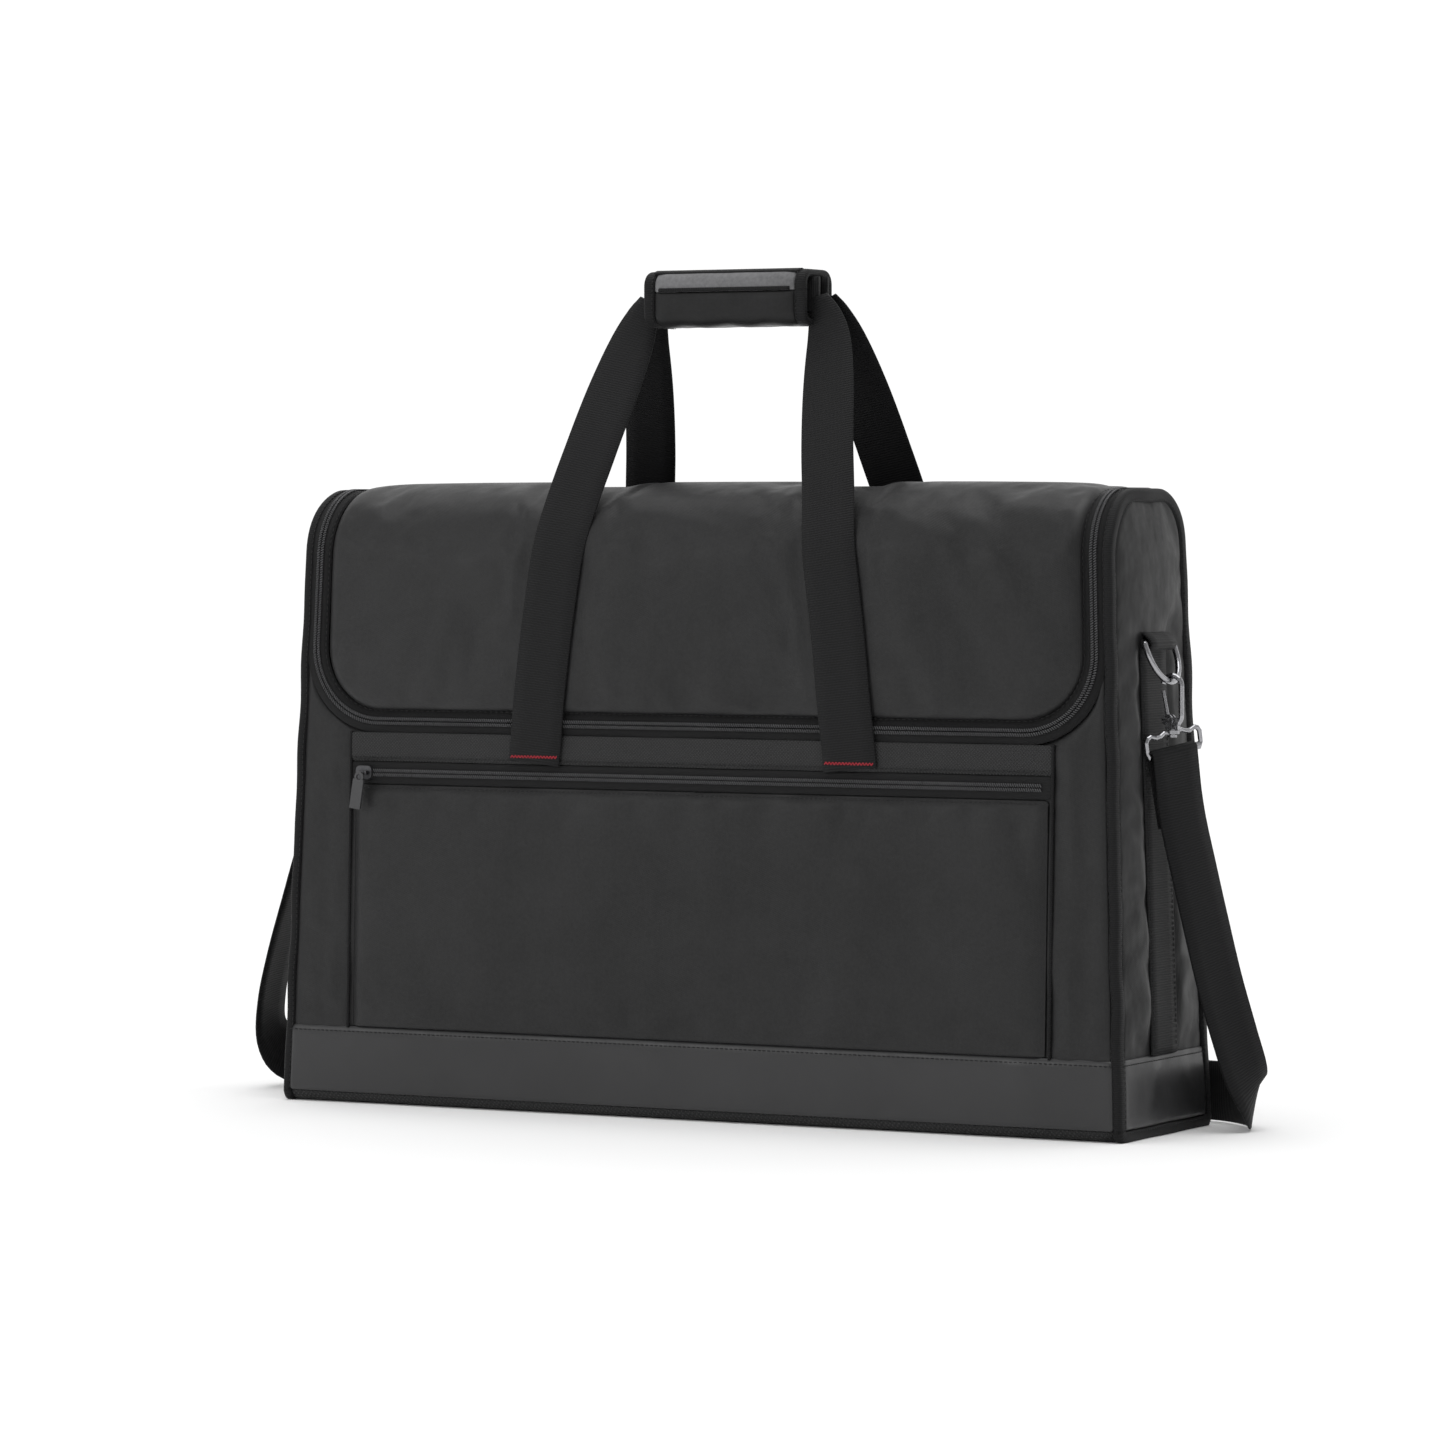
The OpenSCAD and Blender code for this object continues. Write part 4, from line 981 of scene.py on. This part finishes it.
def make_pocket():
    """Pocket sewn to the fixed front, its zip above it and the facing over the zip."""
    half = POCKET_HALF - 0.003
    low = BAND_TOP + 0.0006
    z = low + (POCKET_ZIP_Z - 0.0075 - low) * np.linspace(0, 1, 40)[:, None]
    x = np.linspace(-half, half, 101) + 0 * z
    edge = np.minimum(half - np.abs(x), POCKET_ZIP_Z - 0.0075 - z)
    out = 0.0008 + rolled(np.maximum(edge, 0), 0.0030, 0.0014) + folds(x, z, POCKET_FOLDS)
    below = np.maximum(POCKET_ZIP_Z - 0.0075 - z, 0)
    puckers = 0.0006 * np.sin(x * 150 + 2 * np.sin(x * 31)) + 0.0004 * np.sin(x * 83)
    out += puckers * np.exp(-below / 0.016) * smooth_step(below / 0.004)
    grid = skin(x, front_run(z), out)
    made = settle({"pocket": (grid, border(x.shape, 2), 1.2, 0.010, 0.0018)})["pocket"]
    obj = pad("pocket_cover", made, skin(x, front_run(z), 0.0002 + 0 * x))
    finish_piece(obj, "bag", MAT["shell"], ["pocket_panel"])
    seam = np.linspace(-half + 0.004, half - 0.004, 300)
    run = front_run(POCKET_ZIP_Z - 0.0098)
    stitches("pocket_top_stitches", skin(seam, run, 0.0026), normal_at(np.full(300, run)), "bag")
    tape_z = POCKET_ZIP_Z + np.linspace(-0.0072, 0.0072, 5)[:, None]
    tape_x = np.linspace(-POCKET_HALF, POCKET_HALF, 101) + 0 * tape_z
    obj = pad("pocket_tape", skin(tape_x, front_run(tape_z), 0.0011), skin(tape_x, front_run(tape_z), 0.0001))
    finish_piece(obj, "bag", MAT["zip_tape"], ["pocket_zip_tape"])
    centres = np.linspace(-POCKET_HALF + 0.006, POCKET_HALF - 0.008, 320)
    run = np.full(320, front_run(POCKET_ZIP_Z))
    zip_pair("pocket", centres, run, 0.0016, 0.0014, "bag", "bag")
    top = POCKET_ZIP_Z + 0.0075
    z = top + (ZIP_Z - TAPE - 0.0004 - top) * np.linspace(0, 1, 8)[:, None]
    x = np.linspace(-POCKET_HALF, POCKET_HALF, 101) + 0 * z
    out = 0.0006 + rolled(np.maximum(z - top, 0), 0.0015, 0.0010) + 0.0003 * np.sin(x * 70)
    obj = pad("pocket_facing_cover", skin(x, front_run(z), out), skin(x, front_run(z), 0.0001 + 0 * x))
    finish_piece(obj, "bag", MAT["facing"], ["pocket_facing"])
    seam = np.linspace(-POCKET_HALF + 0.002, POCKET_HALF - 0.002, 300)
    run = front_run(top + 0.0022)
    stitches("facing_stitches", skin(seam, run, 0.0020), normal_at(np.full(300, run)), "bag")
    for s in (-1, 1):
        rise = np.linspace(BAND_TOP, ZIP_Z - TAPE, 60)
        path = skin(s * POCKET_HALF + 0 * rise, front_run(rise), 0.0010)
        obj = wire(f"{'right' if s > 0 else 'left'}_pocket_piping", path, 0.0011, 10)
        nodes = ["pocket_piping"] if s > 0 else []
        finish_piece(obj, "bag", MAT["binding"], nodes)


make_pocket()


def opening_seam(inset):
    """Line of the zip round the lid's opening, from the rear left down, along the front and up to the rear
    right, moved in by inset: place along the bag and along its outline. The corners are quarter circles."""
    radius = ZIP_CORNER - inset
    corner_z = ZIP_Z + ZIP_CORNER
    down = np.linspace(RUN_HINGE - 0.001, front_run(corner_z), 70)
    turn = np.linspace(math.pi / 2, 0, 14)[1:]
    side = half_length(height_at(down)) - ZIP_SIDE - inset
    z = corner_z - radius * np.cos(turn)
    corner = half_length(z) - ZIP_SIDE - ZIP_CORNER + radius * np.sin(turn)
    flat = np.linspace(corner[-1], -corner[-1], 90)[1:-1]
    x = np.concatenate([side, corner, flat, -corner[::-1], -side[::-1]])
    run = np.concatenate([down, front_run(z), np.full(88, front_run(z[-1])), front_run(z)[::-1], down[::-1]])
    return -x, run


def seam_tape(name, insets, outs, body, node):
    """Zip tape on one side of the opening's seam: one column for each inset, with its height above the
    skin."""
    lines = [opening_seam(i) for i in insets]
    outer = np.stack([skin(x, run, out) for (x, run), out in zip(lines, outs)], 1)
    inner = np.stack([skin(x, run, -0.0012) for x, run in lines], 1)
    obj = pad(name, outer, inner, subdivide=0)
    finish_piece(obj, body, MAT["zip_tape"], [node])


def make_main_zip():
    """Tapes and coils of the long zip round the lid's opening."""
    seam_tape("body_tape", (-0.0003, -0.0035, -0.0078), (0.0006, 0.0010, 0.0006), "bag", "body_zip_tape")
    seam_tape("lid_tape", (0.0078, 0.0035, 0.0003), (-0.0006, 0.0008, 0.0006), "lid", "lid_zip_tape")
    x, run = opening_seam(0.0)
    path = skin(x, run)
    length = run_of(path)
    at = np.arange(0.003, length[-1] - 0.003, 0.0016)
    zip_pair("opening", np.interp(at, length, x), np.interp(at, length, run), 0.0012, 0.0014, "bag", "lid")
    lid_x, lid_run = opening_seam(0.0070)
    edge = skin(lid_x, lid_run, 0.0010)
    stitches("lid_edge_stitches", edge[6:-6], normal_at(lid_run[6:-6]), "lid", pitch=0.0040)


make_main_zip()


# ---------------------------------------------------------------- inside
def lining_sheet(name, grid, inward, body, nodes):
    """Loose lining cloth on the inside of a wall: grid is its outer face and inward the way into the
    bag."""
    rows, columns = grid.shape[:2]
    u, v = np.meshgrid(np.linspace(0, 1, columns), np.linspace(0, 1, rows))
    slack = 0.0004 * np.sin(9 * u * math.pi + 3 * v) * np.sin(5 * v * math.pi) * np.sin(u * math.pi)
    face = grid + np.asarray(inward) * (0.0009 + slack)[..., None]
    obj = pad(name, grid, face, subdivide=0)
    finish_piece(obj, body, MAT["lining"], nodes)


def make_lining():
    """Lining of the body's walls and ends, and of the lid."""
    z = 0.012 + (ZIP_Z - TAPE - 0.014) * np.linspace(0, 1, 24)[:, None]
    x = np.linspace(-1, 1, 60) * (half_length(z) - 0.011)
    grid = skin(x, front_run(z), -PAD - 0.0002)
    inward = -normal_at(np.broadcast_to(front_run(z), x.shape))
    lining_sheet("front_lining", grid, inward, "bag", ["body_lining"])
    run = np.linspace(RUN_HINGE + 0.004, back_run(0.012), 34)[::-1]
    x = np.linspace(1, -1, 60) * (half_length(height_at(run)) - 0.011)[:, None]
    grid = skin(x, run[:, None], -PAD - 0.0002)
    lining_sheet("back_lining", grid, -normal_at(np.broadcast_to(run[:, None], x.shape)), "bag", [])
    for s in (1, -1):
        z = np.linspace(0.012, TOP - 0.016, 36)[:, None]
        front, rear = end_edges(z, PAD + 0.002)
        y = front + (rear - front) * np.linspace(0, 1, 20)[::s]
        grid = np.stack([s * (half_length(z) - END_INSET - PAD - 0.0002) + 0 * y, y, z + 0 * y], -1)
        name = "right_end_lining" if s > 0 else "left_end_lining"
        lining_sheet(name, grid, [-s, 0, 0], "bag", [])
    x, run, _, edge = lid_grid()
    x = x * (1 - 0.006 / np.abs(x[:, -1:]))
    grid = skin(x, run[:, None], -PAD - 0.0002)
    inward = -normal_at(np.broadcast_to(run[:, None], x.shape))
    lining_sheet("lid_inner_lining", grid, inward, "lid", ["lid_lining"])


make_lining()


def make_hinge_strip():
    """Cloth inside the lid's hinge, laid round the outline between the back and the lid; it closes the gap
    between them."""
    run = np.linspace(RUN_HINGE - 0.012, RUN_HINGE + 0.012, 17)[::-1, None]
    x = np.linspace(1, -1, 40) * (half_length(height_at(run)) - 0.014)
    obj = pad("hinge_strip", skin(x, run, -0.0056), skin(x, run, -0.0066), subdivide=0)
    finish_piece(obj, None, MAT["lining"])
    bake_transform(obj)


make_hinge_strip()


# ---------------------------------------------------------------- webbing: ends, ring loops and handles
def make_end_webbing(side):
    """Webbing up the middle of an end, with its edge stitches, and the fold of it round the ring's bar."""
    s = 1 if side == "right" else -1
    z = np.linspace(BAND_TOP + 0.0005, RING[2] + 0.003, 60)
    face = half_length(z) - END_INSET + end_bulge(end_middle(z), z)
    path = np.stack([s * (face + 0.0009), end_middle(z), z], -1)
    out = np.tile([float(s), 0, 0], (len(z), 1))
    across = unit(np.cross(out, tangents(path)))
    obj = sweep(f"{side}_webbing", path, across, out, band_section(WEBBING / 2, 0.0018))
    finish_piece(obj, "bag", MAT["webbing"], [f"{side}_side_webbing"])
    for k, shift in enumerate((-WEBBING / 2 + 0.0025, WEBBING / 2 - 0.0025)):
        edge = path + across * shift + out * 0.0011
        stitches(f"{side}_webbing_stitches_{k}", edge[1:-8], out[1:-8], "bag")
    bar = np.array([s * abs(RING[0]), RING[1], RING[2]])
    turn = np.radians(np.linspace(-178, 8, 22))
    r = 0.0034
    hook = np.stack([bar[0] + s * r * np.cos(turn), np.full(22, bar[1]), bar[2] + r * np.sin(turn)], -1)
    top = bar[2] + 0.0065
    wall = half_length(top)
    start = np.array([[s * (wall + 0.0002), bar[1], top], [s * (wall + 0.0006), bar[1], bar[2] + 0.003]])
    end = np.array([[s * (wall + 0.0066), bar[1], bar[2] + 0.003], [s * (wall + 0.0022), bar[1], top]])
    fold = even(np.concatenate([start, hook, end]), 60)
    t = tangents(fold)
    y_axis = np.tile([0.0, 1.0, 0.0], (60, 1))
    obj = sweep(f"{side}_ring_fold", fold, y_axis, unit(np.cross(t, y_axis)),
                band_section(WEBBING / 2 - 0.0004, 0.0017))
    finish_piece(obj, "bag", MAT["webbing"], [f"{side}_ring_loop"])
    seam = [[s * (wall + 0.0045), bar[1] + a * 0.0175, top - 0.0012] for a in (-1, 1)]
    seam_out = unit(np.array([s, 0, 0.6]))
    stitches(f"{side}_ring_fold_stitches", np.linspace(seam[0], seam[1], 12), seam_out, "bag")


GRIP_FRONT = 0.0062                             # how far before the middle the webbing meets the grip


def leg_depth(z, rear, out):
    """Depth of a handle's leg at a height: on the panel, round the arch as far as it touches, and then
    straight to the grip."""
    if rear:
        centre, radius, lean = REAR_CENTRE, REAR_ARCH, BACK_LEAN
    else:
        centre, radius, lean = FRONT_CENTRE, FRONT_ARCH, FRONT_LEAN
    tilt, leave = (BACK_TILT, 20) if rear else (FRONT_TILT, 24)
    w = np.radians(np.linspace(0, leave, 12))
    sign = 1 if rear else -1
    arc_y, arc_z = centre[0] + sign * radius * np.cos(w), centre[1] + radius * np.sin(w)
    foot = sign * (HALF_DEPTH - lean / TOP * 0.22)
    heights = np.concatenate([[0.22], arc_z, [0.511, 0.53]])
    depths = np.concatenate([[foot], arc_y, [sign * GRIP_FRONT, sign * GRIP_FRONT]])
    away = smooth_step((0.515 - z) / 0.09)
    return np.interp(z, heights, depths) + sign * out * away


def leg_lift(z):
    """How far a leg lies over the skin: close at its foot, and higher from the zip up, where the lid is
    padded."""
    return 0.0030 + (LEG_OUT - 0.0030) * smooth_step((z - 0.243) / 0.018)


def make_handle(name, body, rear, material):
    """One carry handle: two webbing legs with their ribs, and the run inside the grip."""
    for s in (-1, 1):
        leg = spline([(s * x, z, w) for x, z, w in LEG], 90)
        legs = np.stack([leg[:, 0], leg_depth(leg[:, 1], rear, leg_lift(leg[:, 1])), leg[:, 1]], -1)
        longer = np.pad(legs[:, 1], 4, "reflect", reflect_type="odd")
        legs[:, 1] = np.convolve(longer, np.ones(9) / 9, "valid")
        t = tangents(legs)
        face = np.tile([0.0, 1.0 if rear else -1.0, 0.0], (90, 1))
        across = unit(np.cross(t, face))
        out = unit(np.cross(across, t))
        section = np.stack([band_section(w, 0.0018, lift=0.0022 * (0.019 - w) / 0.013) for w in leg[:, 2]])
        label = f"{name}_{'right' if s > 0 else 'left'}"
        obj = sweep(f"{label}_leg", legs, across, out, section)
        finish_piece(obj, None, MAT[material], [f"{name}_handle_strap"] if s > 0 else [])
        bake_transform(obj)
    run_x = np.linspace(-0.0625, 0.0625, 30)
    sign = 1.0 if rear else -1.0
    path = np.stack([run_x, np.full(30, sign * GRIP_FRONT), np.full(30, GRIP_MID + 0.002)], -1)
    obj = sweep(f"{name}_run", path, np.tile([0.0, 0, 1], (30, 1)), np.tile([0.0, sign, 0], (30, 1)),
                band_section(0.0115, 0.0034))
    finish_piece(obj, body, MAT[material])


def make_bartacks():
    """Red zigzag stitching that holds the handle feet to the bag, on the front and on the back."""
    first = True
    for s in (-1, 1):
        for rear in (False, True):
            teeth = 30
            x = s * 0.1145 + np.linspace(-0.0172, 0.0172, teeth)
            z = 0.2306 + 0.0009 * np.where(np.arange(teeth) % 2, 1, -1)
            y = leg_depth(z, rear, 0.0040)
            points = np.stack([x, y, z], -1)
            a, b = points[:-1], points[1:]
            up = np.tile([0.0, 1.0 if rear else -1.0, 0.0], (teeth - 1, 1))
            length = float(np.linalg.norm(b - a, axis=1).mean())
            name = f"{'rear' if rear else 'front'}_{'right' if s > 0 else 'left'}_bartack"
            obj = grains(name, (a + b) / 2 + up * 0.0002, unit(b - a), up, length * 1.15, 0.0008, 0.0006)
            finish_piece(obj, "bag", MAT["red_thread"], ["handle_bartacks"] if first else [])
            first = False


for each_side in ("left", "right"):
    make_end_webbing(each_side)
make_handle("front", "front_handle", False, "webbing")
# The back handle's darker webbing is painted shade
make_handle("back", "back_handle", True, "back_webbing_painted_shade")
make_bartacks()


# ---------------------------------------------------------------- grip
GRIP_CORNER = 0.009
CREASE = GRIP_LOW + 0.0218


def grip_section(kind, count=60):
    """Outline of the grip's wrap or flap, seen from the end, anticlockwise from the right: depth, height
    and outward normal. The wrap runs under the grip and up its front, the flap up its rear and over the
    top."""
    w, low, high, r = 0.019, GRIP_LOW, GRIP_TOP, GRIP_CORNER

    def arc(cy, cz, start, end):
        turns = np.radians(np.linspace(start, end, 9))
        return [(cy + r * math.cos(t), cz + r * math.sin(t)) for t in turns]

    if kind == "wrap":
        points = [(0.004, low)] + arc(-w + r, low + r, 270, 180) + [(-w, CREASE)]
    else:
        points = ([(0.0044, low)] + arc(w - r, low + r, -90, 0) + arc(w - r, high - r, 0, 90)
                  + arc(-w + r, high - r, 90, 180) + [(-w, CREASE + 0.0001)])
    line = even(np.array([(y, 0.0, z) for y, z in points]), count)[:, [0, 2]]
    t = unit(np.gradient(line, axis=0))
    normal = np.stack([t[:, 1], -t[:, 0]], -1)
    centre = np.array([0.0, GRIP_MID])
    normal *= np.sign(((line - centre) * normal).sum(1, keepdims=True))
    return line, normal


def grip_pad(name, kind, half, body, node, material, puff):
    """Padded piece of the grip: the section swept along the bag, swelled between its seams and its ends."""
    line, normal = grip_section(kind)
    x = np.linspace(-half, half, 56)
    u, v = np.linspace(0, 1, len(line))[:, None], np.linspace(0, 1, 56)
    edge = np.minimum(1, 12 * np.minimum(v, 1 - v))
    seam = np.minimum(1, 9 * np.minimum(u, 1 - u))
    wave = 0.0005 * np.sin(6.5 * v * math.pi + 1.0) * np.exp(-((u - 0.4) / 0.3) ** 2)
    out = puff * np.sqrt(edge * seam) - puff * 0.4 + wave
    yz = line[:, None] + normal[:, None] * out[..., None]
    outer = np.stack([np.broadcast_to(x, out.shape), yz[..., 0], yz[..., 1]], -1)
    yz = line[:, None] - normal[:, None] * 0.0042 + 0 * out[..., None]
    inner = np.stack([np.broadcast_to(x, out.shape), yz[..., 0], yz[..., 1]], -1)
    if kind == "flap":
        outer, inner = outer[:, ::-1], inner[:, ::-1]
    obj = pad(name, outer, inner)
    finish_piece(obj, body, MAT[material], [node])
    return line, normal


def make_grip():
    """Padded grip that closes round both handles: a wrap, a flap whose face is much lighter than the grip
    cloth as painted light from above, and ribbed bindings.
    """
    half = GRIP_HALF - 0.0078
    grip_pad("grip_wrap_cover", "wrap", half, "front_handle", "grip_wrap", "grip", 0.0012)
    # The flap's face carries the lighter finish, painted light from above
    grip_pad("grip_flap_cover", "flap", half, "grip_flap", "grip_flap", "grip_top", 0.0012)
    for kind, body, node in (("wrap", "front_handle", "grip_binding"),
                             ("flap", "grip_flap", "grip_flap_binding")):
        line, normal = grip_section(kind)
        for s in (-1, 1):
            path = np.stack([np.full(len(line), s * (GRIP_HALF - 0.004)), line[:, 0], line[:, 1]], -1)
            up = np.stack([0 * line[:, 0], normal[:, 0], normal[:, 1]], -1)
            across = unit(np.cross(tangents(path), up))
            label = f"{'left' if s < 0 else 'right'}_{kind}_binding"
            obj = sweep(label, path - up * 0.0018, across, up, super_oval(0.0041, 0.0025))
            finish_piece(obj, body, MAT["binding"], [node] if s > 0 else [])
            stitches(label + "_stitches", path + up * 0.0007 - [s * 0.0028, 0, 0], up, body, pitch=0.0028,
                     length=0.0020)
    x = np.linspace(-GRIP_HALF + 0.006, GRIP_HALF - 0.006, 60)
    place = math.radians(107)
    y = GRIP_CORNER - 0.019 + GRIP_CORNER * math.cos(place)
    z = GRIP_TOP - GRIP_CORNER + GRIP_CORNER * math.sin(place)
    up = np.tile([0.0, math.cos(place), math.sin(place)], (60, 1))
    path = np.stack([x, np.full(60, y), np.full(60, z)], -1)
    obj = sweep("grip_top_binding", path, unit(np.cross(tangents(path), up)), up, super_oval(0.0030, 0.0014))
    finish_piece(obj, "grip_flap", MAT["binding"])
    front = np.stack([x[3:-3], np.full(54, -0.0190), np.full(54, CREASE + 0.0016)], -1)
    obj = sweep("grip_front_piping", front, np.tile([0.0, 0, 1], (54, 1)), np.tile([0.0, -1, 0], (54, 1)),
                super_oval(0.0012, 0.0011))
    finish_piece(obj, "grip_flap", MAT["binding"])


make_grip()


# ---------------------------------------------------------------- hard parts kept from the frame
HARD = {
    "metal": ["left_ring", "right_ring", "left_hook", "right_hook", "left_strap_frame", "right_strap_frame",
              "left_gate", "right_gate"],
    "gunmetal": ["lid_slider", "pocket_slider"],
    "pull": ["lid_pull", "pocket_pull"],
    "foam": ["base_foam"],
    "board": ["base_board"],
    "adjuster": ["strap_adjuster"],
}


def dress_hard_parts():
    """Finishes of the moulded, cast and cut parts."""
    shown = [n for n, o in frame["nodes"].items() if not o.hide_render]
    for material, nodes in HARD.items():
        for name in nodes:
            mesh = frame["nodes"][name].data
            mesh.materials.clear()
            mesh.materials.append(MAT[material])
    left_over = sorted(set(shown) - {n for nodes in HARD.values() for n in nodes})
    print("nodes without a finish:", left_over)


dress_hard_parts()


# ---------------------------------------------------------------- floor and light
def make_stage():
    """Pale floor, surroundings that are white behind the bag and dimmer before it, and a wide soft light
    above."""
    material = bpy.data.materials.new("floor")
    material.use_nodes = True
    shader = material.node_tree.nodes["Principled BSDF"]
    shader.inputs["Base Color"].default_value = (0.95, 0.95, 0.95, 1)
    shader.inputs["Roughness"].default_value = 1.0
    shader.inputs["Specular IOR Level"].default_value = 0.0
    floor = make_object("floor", [(-30, -30, 0), (30, -30, 0), (30, 30, 0), (-30, 30, 0)], [(0, 1, 2, 3)])
    floor.data.materials.append(material)
    world = bpy.data.worlds.new("world")
    world.use_nodes = True
    nodes, links = world.node_tree.nodes, world.node_tree.links
    place = nodes.new("ShaderNodeTexCoord")
    facing = nodes.new("ShaderNodeVectorMath")
    facing.operation = "DOT_PRODUCT"
    facing.inputs[1].default_value = (-0.47, 0.88, 0)
    strength = nodes.new("ShaderNodeMapRange")
    for key, value in (("From Min", -0.2), ("From Max", 0.7), ("To Min", 0.40), ("To Max", 1.04)):
        strength.inputs[key].default_value = value
    links.new(place.outputs["Generated"], facing.inputs[0])
    links.new(facing.outputs["Value"], strength.inputs["Value"])
    nodes["Background"].inputs["Color"].default_value = (1, 1, 1, 1)
    links.new(strength.outputs["Result"], nodes["Background"].inputs["Strength"])
    bpy.context.scene.world = world
    add_light("top", "SUN", (0.15, -0.25, 3.0), 1.6, angle=math.radians(50))
    add_light("key", "AREA", (-1.6, -2.6, 1.5), 14, size=1.4)
    add_light("side", "AREA", (3.0, 0.4, 1.2), 2, size=1.2)
    bpy.context.scene.view_settings.view_transform = "Standard"


def add_light(name, kind, place, power, size=1.0, angle=0.0):
    """Light that looks at the middle of the bag."""
    light = bpy.data.lights.new(name, kind)
    light.energy = power
    if kind == "AREA":
        light.size = size
    else:
        light.angle = angle
    obj = bpy.data.objects.new(name, light)
    bpy.context.scene.collection.objects.link(obj)
    obj.location = place
    obj.rotation_mode = "QUATERNION"
    obj.rotation_quaternion = (Vector((0, 0, 0.25)) - Vector(place)).to_track_quat("-Z", "Y")


make_stage()
